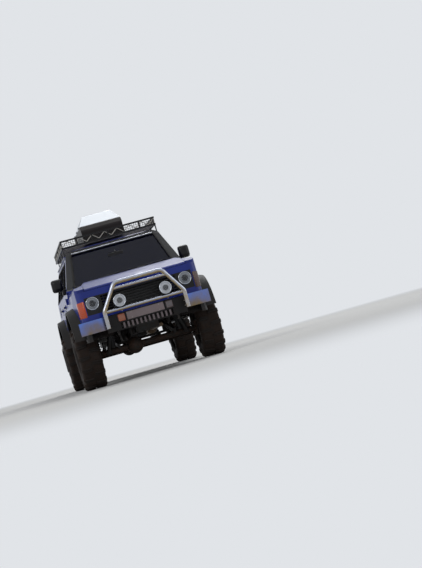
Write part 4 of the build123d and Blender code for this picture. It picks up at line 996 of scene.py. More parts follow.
@dataclass
class Finishes:
    """All finishes of the vehicle, each made once."""

    made: dict[str, Material] = field(init=False, default_factory=dict)

    def __post_init__(self) -> None:
        """Makes every material from its recipe."""
        upper = RoadFilm(foot=0.45, top=1.15, amount=0.75)
        under = RoadFilm(foot=0.15, top=1.05, amount=0.9)
        recipes = [
            Enamel("enamel_blue_clearcoated", "#0b2a90", "#081f6e", upper, guard_top=0.742, screen_frame=True),
            Enamel("enamel_white_plastic_lid", "#d3dae2", "#c2cedb", RoadFilm(amount=0.0, level_dust=0.05), 0.3,
                   0.4),
            Enamel("enamel_inside_floor_sprayed", "#0e1226", "#0b0e1c", under, 0.6),
            # Painted reflection: the bull bar's yellow-grey on faces that look down stands for the ground.
            BareMetal("steel_tube_polished", "#a9afbd", 0.20, scratch_mm=14.0, depth=0.00001, ground_reflection="#a08f70"),
            # Painted reflections: the bumper corners' blue stands for the sky above, the olive-brown below for
            # the ground.
            BareMetal("steel_bumper_plated", "#5f7ac0", 0.12, (0.15, 1.0, 1.0), 14.0, 0.00001,
                      ground_reflection="#76643c", ground_reflection_top=0.80),
            BareMetal("lamp_rim_plated", "#b9bdc4", 0.12, scratch_mm=14.0, depth=0.00001, tarnish_amount=0.1),
            # Painted highlight: bright trim standing in for the light along the roof's front edge.
            BareMetal("bright_trim_painted_highlight", "#d8dbe0", 0.22, scratch_mm=14.0, depth=0.00001,
                      tarnish_amount=0.1),
            BareMetal("aluminium_reflector_vapour_coated", "#a4a8ae", 0.09, depth=0.00001, tarnish_amount=0.0),
            BareMetal("zinc_plated_wire", "#a39f98", 0.38, tarnish_amount=0.6),
            BareMetal("exhaust_steel_heat_tinted", "#7b6a58", 0.42, (1.0, 0.2, 1.0), tarnish_amount=0.8),
            BareMetal("bolt_steel_zinc_plated", "#7c7b78", 0.35, tarnish_amount=0.5),
            BareMetal("mirror_glass_silvered", "#a8aeb6", 0.03, depth=0.0, tarnish_amount=0.0),
            PowderCoat("powder_black_bumper", "#0c0b0d", 0.45, under),
            # Partly dust, partly painted highlight: grey ribs, lighter than the bumper's own black.
            PowderCoat("grey_ribs_dust_and_highlight", "#7b7175", 0.45, RoadFilm(foot=0.5, top=1.0, amount=0.3)),
            PowderCoat("powder_black_rack", "#1a1a1b", 0.4, RoadFilm(amount=0.0, level_dust=0.3), chips=0.8),
            PowderCoat("chassis_paint_brushed", "#1b1a19", 0.5, under),
            PowderCoat("rim_paint_sprayed", "#26272a", 0.35, RoadFilm(foot=0.1, top=1.0, amount=0.6)),
            PowderCoat("spring_paint_dipped", "#202225", 0.45, under),
            Moulding("grained_black_plastic", "#0c0c0d", Grain.PEBBLE, 0.55,
                     RoadFilm(foot=0.5, top=1.2, amount=0.45), fading=0.1),
            Moulding("satin_black_plastic", "#0d0d10", Grain.SMOOTH, 0.3, RoadFilm(amount=0.15)),
            Moulding("formed_dark_box_plastic", "#1c1718", Grain.HAIRCELL, 0.45, RoadFilm(amount=0.0),
                     fading=0.1),
            Moulding("cabin_trim_plastic", "#25262a", Grain.HAIRCELL, 0.55, RoadFilm(amount=0.0)),
            Moulding("tank_plastic_blown", "#1c1c1c", Grain.PEBBLE, 0.5, under),
            Casting("axle_iron_cast", "#262523"),
            Casting("engine_iron_cast", "#3f4245", "#3f3730", RoadFilm(amount=0.15), lump=0.0006),
            Casting("alloy_cover_cast", "#a3a5a8", "#8a8782", RoadFilm(amount=0.0), 0.6, 0.0001),
            Casting("shaft_steel_forged", "#2c2b2a", metallic=0.6),
            Rubber("tyre_rubber_muddy", reads_pack=True),
            Rubber("seal_rubber_extruded", "#141414", film=RoadFilm(foot=0.5, top=1.3, amount=0.15)),
            FloatGlass("float_glass_tinted", "#090c24", 0.30),
            FloatGlass("float_glass_dark_rear", "#070a14", 0.18),
            Lens("lens_clear_fluted", "#8f949c", 0.10, 11.0, eye=(0.645, 1.115, 0.040)),
            Lens("lens_spot_fluted", "#c6cad2", 0.10, 16.0, eye=(0.315, 1.046, 0.036)),
            # Painted shade: the left side's corner and bumper lamps take darker copies of their lens colours.
            Lens("lens_amber_ribbed", "#c0481c", 1.0, 12.0, "Z", left="#4c2a1e"),
            Lens("lens_peach_ribbed", "#a8694f", 1.0, 9.0, "X", left="#6b6468"),
            Lens("lens_red_ribbed", "#a01216", 1.0, 14.0, "Z", bands=((1.170, "#b8521c"), (1.086, "#a9a9ad"))),
            Cloth("seat_cloth_woven", "#26282d", "#4a4e57"),
            Cloth("floor_carpet_tufted", "#1a1a1b", "#333333", 7.0, 0.5),
            PlateSheet("plate_sheet_reflective"),
            FinCore("radiator_core_folded"),
        ]
        for recipe in recipes:
            self.made[recipe.name] = recipe.material()
        LOG.info("%d finishes", len(self.made))

    def __getitem__(self, name: str) -> Material:
        """The finish of that name."""
        return self.made[name]


NODE_FINISHES = {
    "enamel_blue_clearcoated": (
        "body_side_left", "body_side_right", "roof", "rear_frame", "front_wings", "nose_panel", "bonnet",
        "rear_door", "front_door_left", "front_door_right", "rear_door_left", "rear_door_right"),
    "enamel_inside_floor_sprayed": ("floor_pan", "load_floor"),
    "enamel_white_plastic_lid": ("roof_box_lid",),
    "formed_dark_box_plastic": ("roof_box_base",),
    "steel_tube_polished": ("bull_bar",),
    "steel_bumper_plated": ("bumper_corners",),
    "exhaust_steel_heat_tinted": ("exhaust",),
    "powder_black_bumper": ("front_bumper", "rear_bumper"),
    "powder_black_rack": ("roof_rack",),
    "chassis_paint_brushed": ("chassis_frame",),
    "rim_paint_sprayed": ("spare_rim", "front_rim_left", "rear_rim_left", "front_rim_right", "rear_rim_right"),
    "spring_paint_dipped": ("suspension",),
    "grained_black_plastic": ("wheel_flares", "mirror_left", "mirror_right"),
    "satin_black_plastic": ("grille",),
    "cabin_trim_plastic": ("dashboard", "seats"),
    "tank_plastic_blown": ("fuel_tank",),
    "axle_iron_cast": ("front_axle", "rear_axle", "knuckle_left", "knuckle_right"),
    "engine_iron_cast": ("engine",),
    "shaft_steel_forged": ("propeller_shafts", "tie_rod"),
    "tyre_rubber_muddy": (
        "spare_tyre", "front_tyre_left", "rear_tyre_left", "front_tyre_right", "rear_tyre_right"),
    "float_glass_tinted": ("fixed_glass", "front_glass_left", "front_glass_right"),
    "float_glass_dark_rear": ("rear_door_glass", "rear_glass_left", "rear_glass_right"),
    "lens_clear_fluted": ("headlamps", "spot_lamps"),
    "lens_amber_ribbed": ("corner_lamps",),
    "lens_red_ribbed": ("tail_lamps",),
    "plate_sheet_reflective": ("number_plates",),
    "radiator_core_folded": ("radiator",),
}


def dress_nodes(finishes: Finishes) -> None:
    """Gives every solid its finish in place of the plain one that it came with.

    Args:
        finishes: The finished materials, by name.
    """
    for finish, names in NODE_FINISHES.items():
        for name in names:
            mesh = frame["nodes"][name].data
            mesh.materials.clear()
            mesh.materials.append(finishes[finish])
    missing = set(frame["nodes"]) - {name for names in NODE_FINISHES.values() for name in names}
    LOG.info("solids dressed, left out: %s", sorted(missing))


# Wheels
def turned_x(shape: Shape, sign: float) -> Shape:
    """The shape with its outer face, +X, turned to the vehicle's left or right by half a turn about Z."""
    return shape if sign > 0 else Shape(shape.points * (-1.0, -1.0, 1.0), shape.faces)


@dataclass(frozen=True)
class Tyre:
    """Mud tyre with two staggered rows of long lugs, in metres, its axle along X and its outer face at +X."""

    radius: float = 0.437
    half_width: float = 0.159
    groove: float = 0.017
    bead: float = 0.2165
    lugs: int = 16
    lug_length: float = 0.054
    lug_inner: float = 0.009
    segments: int = 96

    @property
    def crown(self) -> float:
        """Radius at the bottom of the grooves."""
        return self.radius - self.groove

    def wall(self) -> Array:
        """Outer half of the section as (x, radius): superellipse from bead to crown, with two raised bands.

        x = a + b cos(t) ** 0.72 and radius = middle + height sin(t), with 2.2 mm bands at 0.262 and 0.340.

        Returns:
            The points of (x, radius).
        """
        turn = np.linspace(-0.5, 0.5, 26) * math.pi
        middle, height = 0.318, self.crown - 0.318
        lower = 0.318 - self.bead
        radius = middle + np.where(turn < 0, lower, height) * np.sin(turn)
        inner = np.where(turn < 0, 0.104, 0.108)
        x = inner + (self.half_width - 0.0035 - inner) * np.cos(turn) ** 0.72
        rings = ((0.262, 0.005), (0.340, 0.006))
        band = 0.0022 * sum(np.exp(-(((radius - place) / wide) ** 4)) for place, wide in rings)
        return np.stack([x + band, radius], axis=-1)

    def carcass(self) -> Shape:
        """Closed ring: the wall, the crown, the mirrored wall and the bore.

        Returns:
            The finished shape.
        """
        wall = self.wall()
        other = wall[::-1] * (-1.0, 1.0)
        bore = np.array([(-0.0975, 0.2165), (-0.0975, 0.2004), (0.0975, 0.2004), (0.0975, 0.2165)])
        crown = np.stack([np.linspace(0.08, -0.08, 5), np.full(5, self.crown + 0.001)], axis=-1)
        profile = np.concatenate([wall, crown, other, bore])
        return lathe(profile, (0, 0, 0), "x", self.segments)

    def lug(self) -> Shape:
        """One lug at the top of the outer row: a grooved section carried from the middle over the shoulder.

        Each point sits at radius x (cos, sin) of (arc / 0.43), and the section widens to the shoulder.

        Returns:
            The lug.
        """
        spine = np.array([
            # x, top radius, foot radius, width factor, arc offset
            (self.lug_inner, 0.4365, 0.408, 0.80, -0.006), (0.030, 0.4368, 0.408, 0.86, -0.004),
            (0.075, 0.4368, 0.408, 0.94, 0.000), (0.122, 0.4362, 0.405, 1.00, 0.003),
            (0.138, 0.4305, 0.398, 1.0, 0.003), (0.1520, 0.4150, 0.385, 0.98, 0.002),
            (0.1582, 0.3960, 0.376, 0.92, 0.001), (0.1585, 0.3720, 0.362, 0.70, 0.0),
        ])
        half = self.lug_length / 2
        section = np.array([
            # across, part of the height
            (-half - 0.003, 0.0), (-half + 0.0005, 0.86), (-half + 0.004, 1.0), (-0.0030, 1.0), (-0.0018, 0.55),
            (0.0018, 0.55), (0.0030, 1.0), (half - 0.004, 1.0), (half - 0.0005, 0.86), (half + 0.003, 0.0),
        ])
        sideways = np.array([0.0, 0.0, 0.0, 0.0, 0.35, 0.8, 1.0, 1.0])
        inward = 0.020 * sideways[:, None] * (1 - section[None, :, 1])
        x = spine[:, :1] - inward
        radius = spine[:, 2:3] + (spine[:, 1:2] - spine[:, 2:3]) * section[None, :, 1]
        arc = section[None, :, 0] * spine[:, 3:4] + spine[:, 4:5]
        angle = arc / 0.43
        x = np.broadcast_to(x, radius.shape)
        points = np.stack([x, radius * np.sin(angle), radius * np.cos(angle)], axis=-1)
        return outwards(grid(points, wrap_columns=True, caps=True))

    def rows(self) -> Shape:
        """Both rows: lug k stands at k x 22.5 degrees outside, and half a step further on inside.

        Returns:
            All the lugs.
        """
        step = 2 * math.pi / self.lugs
        outer = self.lug()
        inner = Shape(outer.points * (-1.0, 1.0, 1.0), tuple(g[:, ::-1] for g in outer.faces))
        turns = np.arange(self.lugs) * step - math.pi / 2
        still = np.zeros((self.lugs, 3))
        return joined([outer.repeated(frames(still, turns)), inner.repeated(frames(still, turns + step / 2))])

    def shape(self) -> Shape:
        """Whole tyre."""
        return joined([self.carcass(), self.rows()])

    def pack(self, shape: Shape) -> Array:
        """Mud on each point of the unplaced tyre: 1 between the lugs, 0 on their tops, 0.12 at the bead.

        Args:
            shape: The shape to read.

        Returns:
            Mud at each point.
        """
        radius = np.hypot(shape.points[:, 1], shape.points[:, 2])
        tread = np.clip((self.radius - 0.002 - radius) / self.groove, 0, 1)
        wall = np.clip((radius - 0.24) / 0.14, 0.12, 1.0)
        return tread * wall


@dataclass(frozen=True)
class WheelFittings:
    """Nuts, freewheel hub and valve on a rim's hub face, with their circle and sizes in metres."""

    nut_circle: float = 0.068
    nuts: int = 6
    nut_radius: float = 0.0105
    hub_face: float = 0.046
    cap_face: float = 0.084

    def nut(self, place: float) -> Shape:
        """Six-sided nut with a washer face and a domed end, on +X.

        Args:
            place: Place along the wheel's axis, in metres.

        Returns:
            The finished shape.
        """
        radius = self.nut_radius
        profile = [(0.0, 0.0), (0.0, radius * 1.15), (0.003, radius * 1.15), (0.003, radius), (0.015, radius),
                   (0.020, radius * 0.55), (0.021, 0.0)]
        return lathe(np.array(profile) + (place, 1e-5), (0, 0, 0), "x", 6, closed=False)

    def shape(self, capped: bool) -> Shape:
        """Ring of nuts, the hub's dial with its grip ribs where it has one, and the valve.

        Args:
            capped: Which of the two hubs it has, capped or plain.

        Returns:
            The finished shape.
        """
        turns = np.arange(self.nuts) * 2 * math.pi / self.nuts
        centres = np.stack([np.zeros(self.nuts), np.cos(turns), np.sin(turns)], axis=-1) * self.nut_circle
        parts = [self.nut(self.hub_face).repeated(frames(centres, turns))]
        if capped:
            face = self.cap_face
            dial = [(-0.004, 0.0590), (0.0005, 0.0590), (0.0005, 0.047), (0.007, 0.044), (0.009, 0.030),
                    (0.0095, 1e-5), (-0.004, 1e-5)]
            parts.append(lathe(dial, (face, 0, 0), "x", 40, closed=False))
            grip = rounded_block((face + 0.004, -0.040, -0.006), (face + 0.017, 0.040, 0.006), 0.004, (1, 3, 1))
            parts.append(grip)
            screws = np.arange(6) * math.pi / 3 + 0.5
            ring = np.stack([np.full(6, face), np.cos(screws) * 0.0525, np.sin(screws) * 0.0525], axis=-1)
            parts.append(rods(ring, ring + (0.004, 0, 0), 0.0035, 8))
        valve = np.array([(0.036, 0.168, 0.02), (0.066, 0.160, 0.02)])
        parts.append(tube(valve, 0.0045, (0, 0, 1), 10))
        return joined(parts)


def set_values(piece: bpy.types.Object, name: str, values: Array) -> None:
    """Stores one number for each point of a piece, for its finish to read."""
    layer = piece.data.attributes.new(name, "FLOAT", "POINT")
    layer.data.foreach_set("value", values.astype(np.float32))


@dataclass(frozen=True)
class Wheels:
    """Tyres, nuts, hubs and valves of the four road wheels and the spare, in metres."""

    axles: tuple[tuple[str, float], ...] = (("front", FRONT_AXLE_Y), ("rear", REAR_AXLE_Y))
    spare: Point = (0.020, 2.481, 1.272)
    spare_mud: float = 0.5
    tyre: Tyre = Tyre()
    fittings: WheelFittings = WheelFittings()

    def add_tyre(self, finishes: Finishes, name: str, shape: Shape, body: str, node: str, mud: Array) -> None:
        """Adds a placed tyre over its solid, with the mud that its finish reads.

        Args:
            finishes: The finished materials, by name.
            name: Its name.
            shape: The tyre's shape.
            body: Name of the body it rides on.
            node: Name of the node it replaces.
            mud: Mud at each point.
        """
        rubber = finishes["tyre_rubber_muddy"]
        piece = add_piece(f"mud_tyre_{name}", shape, body, rubber, (node,), 34)
        set_values(piece, "pack", mud)

    def build(self, finishes: Finishes) -> None:
        """Wheels on both axles, each with its outer face outwards, and the spare on the tail door.

        Args:
            finishes: The finished materials, by name.
        """
        steel = finishes["bolt_steel_zinc_plated"]
        shape = self.tyre.shape()
        pack = self.tyre.pack(shape)
        for end, axle in self.axles:
            for side, sign in SIDES:
                body = f"{end}_wheel_{side}"
                place = np.eye(4)
                place[:3, 3] = (sign * WHEEL_X, axle, WHEEL_Z)
                dressed = turned_x(shape, sign).moved(place)
                self.add_tyre(finishes, f"{end}_{side}", dressed, body, f"{end}_tyre_{side}", pack)
                bolts = turned_x(self.fittings.shape(True), sign).moved(place)
                add_piece(f"hub_fittings_{end}_{side}", bolts, body, steel)
        place = frames(np.array([self.spare]), [math.pi / 2], (0.0, 0.0, 1.0))[0]
        self.add_tyre(finishes, "spare", shape.moved(place), "tail_door", "spare_tyre", pack * self.spare_mud)
        nuts = self.fittings.shape(False).moved(place)
        add_piece("spare_wheel_nuts", nuts, "tail_door", steel)


# Lamps
def upright(x0: float, x1: float, y: float, z0: float, z1: float) -> Array:
    """Corners of an upright rectangle across the vehicle."""
    return np.array([(x0, y, z0), (x1, y, z0), (x1, y, z1), (x0, y, z1)])


def edging(foot: float, low: float, top: float, high: float) -> Array:
    """Four-sided section of a frame: foot and top are half its widths at its low and its high edge."""
    return np.array([(-foot, low), (foot, low), (top, high), (-top, high)])


@dataclass(frozen=True)
class RoundLamp:
    """Round lamp looking forwards: bowl, reflector, bulb shield, fluted lens and rim, in metres."""

    x: float
    z: float
    radius: float
    face: float
    depth: float
    bulge: float
    rim: float

    def centre(self) -> Point:
        """Middle of the lens' edge."""
        return (self.x, self.face + self.bulge, self.z)

    def bowl(self) -> Shape:
        """Outer shell: straight near the rim and rounded behind.

        Returns:
            The finished shape.
        """
        back = self.depth - self.bulge
        profile = [(0.004, self.radius - 0.003), (0.0, self.radius), (back * 0.45, self.radius),
                   (back * 0.80, self.radius * 0.86), (back, self.radius * 0.50), (back, 1e-5),
                   (back - 0.003, 1e-5), (back - 0.003, self.radius * 0.48), (back * 0.78, self.radius * 0.82),
                   (back * 0.45, self.radius - 0.004)]
        return lathe(profile, self.centre(), "y", 56)

    def reflector(self) -> Shape:
        """Paraboloid shell: depth = 0.75 of the bowl x (1 - (r / R) squared).

        Returns:
            The finished shape.
        """
        r = np.linspace(1.0, 0.02, 12) * (self.radius - self.rim * 0.7)
        deep = 0.70 * (self.depth - self.bulge) * (1 - (r / r[0]) ** 2)
        front = np.stack([deep + 0.002, r], axis=-1)
        back = front[::-1] + (0.0015, 0.0)
        return lathe(np.concatenate([front, back]), self.centre(), "y", 56)

    def lens(self) -> Shape:
        """Domed glass shell 3 mm thick: y = bulge x (1 - (r / R) squared) forwards.

        Returns:
            The finished shape.
        """
        r = np.linspace(1.0, 0.0005, 12) * (self.radius - self.rim * 0.4)
        dome = -self.bulge * (1 - (r / self.radius) ** 2)
        front = np.stack([dome, r], axis=-1)
        back = front[::-1] + (0.003, 0.0)
        return lathe(np.concatenate([front, back]), self.centre(), "y", 56)

    def ring(self) -> Shape:
        """Rounded rim round the lens.

        Returns:
            The finished shape.
        """
        turn = np.linspace(0, 2 * math.pi, 13)[:-1]
        middle = self.radius - self.rim / 2
        profile = np.stack([-0.003 + 0.0075 * np.cos(turn), middle + self.rim / 2 * np.sin(turn)], axis=-1)
        return lathe(profile, self.centre(), "y", 64)

    def shield(self) -> Shape:
        """Bulb with its front shield on a short stem.

        Returns:
            The finished shape.
        """
        deep = 0.55 * (self.depth - self.bulge)
        wide = 0.54 * self.radius
        profile = [(-0.001, 1e-5), (0.000, wide * 0.80), (0.003, wide * 0.98), (0.016, wide), (0.018, 0.009),
                   (deep, 0.009), (deep, 1e-5)]
        return lathe(profile, self.centre(), "y", 28, closed=False)


@dataclass(frozen=True)
class LampPair:
    """Two like round lamps, the glass that they have and the solid that they stand for, in metres."""

    name: str
    node: str
    glass: str
    x: float
    z: float
    radius: float
    face: float
    depth: float
    bulge: float
    rim: float
    stem_y: float | None = None

    def stem(self, x: float, y: float) -> list[Shape]:
        """A lamp's foot on its clamp: block, neck and cross bolt.

        Args:
            x: Its place across the vehicle, in metres.
            y: Its place along the vehicle, in metres.

        Returns:
            Its parts.
        """
        return [rounded_block((x - 0.016, y - 0.014, 0.953), (x + 0.016, y + 0.014, 0.968), 0.004),
                rounded_block((x - 0.014, y - 0.010, 0.955), (x + 0.014, y + 0.010, 0.972), 0.003),
                rods([(x - 0.022, y, 0.960)], [(x + 0.022, y, 0.960)], 0.006)]

    def build(self, finishes: Finishes) -> None:
        """Bowls with their stems, reflectors, shields, lenses and rims of both lamps.

        Args:
            finishes: The finished materials, by name.
        """
        lamps = [RoundLamp(sign * self.x, self.z, self.radius, self.face, self.depth, self.bulge, self.rim)
                 for sign in (-1, 1)]
        bowls = [lamp.bowl() for lamp in lamps]
        if self.stem_y is not None:
            bowls += [part for lamp in lamps for part in self.stem(lamp.x, self.stem_y)]
        rows = (
            ("bowls", bowls, "satin_black_plastic", "lamp_glass"),
            ("reflectors", [lamp.reflector() for lamp in lamps], "aluminium_reflector_vapour_coated",
             "lamp_glass"),
            ("shields", [lamp.shield() for lamp in lamps], "satin_black_plastic", "lamp_glass"),
            ("lenses", [lamp.lens() for lamp in lamps], self.glass, "lamp_glass"),
            ("rims", [lamp.ring() for lamp in lamps], "lamp_rim_plated", "bright_steel"),
        )
        for part, shapes, finish, slot in rows:
            nodes = (self.node,) if part == "bowls" else ()
            add_piece(f"{self.name}_{part}", joined(shapes), "body", finishes[finish], nodes)


HEADLAMPS = LampPair(
    "headlamp", "headlamps", "lens_clear_fluted", x=0.645, z=1.115, radius=0.089, face=-2.316, depth=0.090,
    bulge=0.016, rim=0.012)
SPOT_LAMPS = LampPair(
    "spot_lamp", "spot_lamps", "lens_spot_fluted", x=0.315, z=1.046, radius=0.084, face=-2.637, depth=0.084,
    bulge=0.012, rim=0.016, stem_y=-2.582)


@dataclass(frozen=True)
class BumperLamps:
    """Square lamps beside the front plate: a pale lens in a black frame, over their solids, in metres."""

    x: float = 0.330
    z: float = 0.830
    lens: float = 0.047
    frame: float = 0.050
    front: float = -2.4215
    back: float = -2.405
    frame_y: float = -2.414

    def lens_shape(self, x: float) -> Shape:
        """Crowned square lens.

        Args:
            x: Its place across the vehicle, in metres.

        Returns:
            The finished shape.
        """
        low = (x - self.lens, self.front, self.z - self.lens)
        high = (x + self.lens, self.back, self.z + self.lens)
        return rounded_block(low, high, 0.010, (3, 1, 3))

    def frame_shape(self, x: float) -> Shape:
        """Frame round the lens, its section wider at the foot.

        Args:
            x: Its place across the vehicle, in metres.

        Returns:
            The finished shape.
        """
        half, z = self.frame, self.z
        corners = upright(x - half, x + half, self.frame_y, z - half, z + half)
        return swept(rounded_path(corners, 0.014, 6), (0, -1, 0), edging(0.005, -0.010, 0.004, 0.007), True)

    def build(self, finishes: Finishes) -> None:
        """Lenses and frames of both lamps.

        Args:
            finishes: The finished materials, by name.
        """
        places = (-self.x, self.x)
        lenses, rims = (joined([make(x) for x in places]) for make in (self.lens_shape, self.frame_shape))
        add_piece("bumper_lamp_lenses", lenses, "body", finishes["lens_peach_ribbed"])
        add_piece("bumper_lamp_frames", rims, "body", finishes["satin_black_plastic"])


@dataclass(frozen=True)
class CornerLens:
    """Wraparound lens of a corner lamp, its plan following the wing's bevelled corner, in metres."""

    low: float = 0.952
    high: float = 1.166
    inner: float = 0.764
    bevel: Outline = ((0.773, -2.3115), (0.840, -2.2265), (0.8455, -2.170))

    def shape(self) -> Shape:
        """Lens 7 mm thick: a flat section with bevelled edges carried along the plan of the corner.

        Returns:
            The finished shape.
        """
        corners = np.array([(self.inner - 0.03, -2.3115, self.low)] + [(x, y, self.low) for x, y in self.bevel])
        path = rounded_path(corners, 0.026, 7, closed=False)
        path[0, 0] = self.inner
        tall = self.high - self.low
        section = np.array([(-0.004, 0.003), (0.001, 0.0), (0.0035, 0.004), (0.0035, tall - 0.004),
                            (0.001, tall), (-0.004, tall - 0.003)])
        return swept(path, (0, 0, 1), section)

    def build(self, finishes: Finishes) -> None:
        """The lenses of both corners."""
        both = joined([self.shape().on(sign) for _, sign in SIDES])
        add_piece("corner_lamp_lenses", both, "body", finishes["lens_amber_ribbed"])


@dataclass(frozen=True)
class DoorMirror:
    """Door mirror: domed shell, silvered glass in a bezel and a foot on the door's corner, in metres."""

    low: Point = (0.868, -0.864, 1.460)
    high: Point = (1.034, -0.776, 1.652)
    rounding: float = 0.036
    taper: float = 0.20

    def shell(self) -> Shape:
        """Rounded block that narrows forwards: x and z shrink towards the middle by taper x depth squared.

        Returns:
            The finished shape.
        """
        block = rounded_block(self.low, self.high, self.rounding, (5, 4, 5))
        middle = (np.array(self.low) + np.array(self.high)) / 2
        depth = (self.high[1] - block.points[:, 1]) / (self.high[1] - self.low[1])
        shrink = 1 - self.taper * depth[:, None] ** 2 * np.array([1.0, 0.0, 1.0])
        foot = rounded_block((0.846, -0.838, 1.400), (0.906, -0.784, 1.486), 0.016, (2, 2, 3))
        return joined([Shape(middle + (block.points - middle) * shrink, block.faces), foot])

    def face(self) -> tuple[Shape, Shape]:
        """The glass, set 1 mm out of the shell's back, and the bezel round it.

        Returns:
            The two shapes, each for a finish of its own.
        """
        (x0, _, z0), (x1, back, z1) = self.low, self.high
        path = rounded_path(upright(x0 + 0.012, x1 - 0.012, back, z0 + 0.012, z1 - 0.012), 0.030, 7)
        bezel = swept(path, (0, 1, 0), edging(0.005, -0.004, 0.003, 0.004), True)
        ring = np.stack([path + (0, -0.002, 0), path + (0, 0.0015, 0)])
        return outwards(grid(ring, wrap_columns=True, caps=True)), bezel

    def build(self, finishes: Finishes) -> None:
        """Both mirrors, each riding on its front door.

        Args:
            finishes: The finished materials, by name.
        """
        for side, sign in SIDES:
            glass, bezel = self.face()
            shell = joined([self.shell(), bezel]).on(sign)
            rides = f"front_side_door_{side}"
            add_piece(f"mirror_shell_{side}", shell, rides, finishes["satin_black_plastic"],
                      (f"mirror_{side}",))
            add_piece(f"mirror_face_{side}", glass.on(sign), rides, finishes["mirror_glass_silvered"])


@dataclass(frozen=True)
class TailLampFrames:
    """Black dividers and edges of the upright tail lamps, in metres."""

    inner: float = 0.755
    outer: float = 0.858
    low: float = 1.003
    high: float = 1.307
    splits: tuple[float, ...] = (1.086, 1.170)
    bar: float = 0.0035

    def shape(self) -> Shape:
        """Upright bar at the inner edge, and level bars at both ends and at the splits.

        Returns:
            The finished shape.
        """
        y0, y1 = TAIL_Y - 0.004, TAIL_Y + 0.003
        parts = [rounded_block((self.inner - 0.001, y0, self.low), (self.inner + 0.006, y1, self.high), 0.0015,
                               (1, 1, 4))]
        for z in (self.low + self.bar, *self.splits, self.high - self.bar):
            low, high = (self.inner, y0, z - self.bar), (self.outer, y1, z + self.bar)
            parts.append(rounded_block(low, high, 0.0015, (4, 1, 1)))
        return joined(parts)

    def build(self, finishes: Finishes) -> None:
        """The dividers of both lamps."""
        both = joined([self.shape().on(sign) for _, sign in SIDES])
        add_piece("tail_lamp_dividers", both, "body", finishes["satin_black_plastic"])


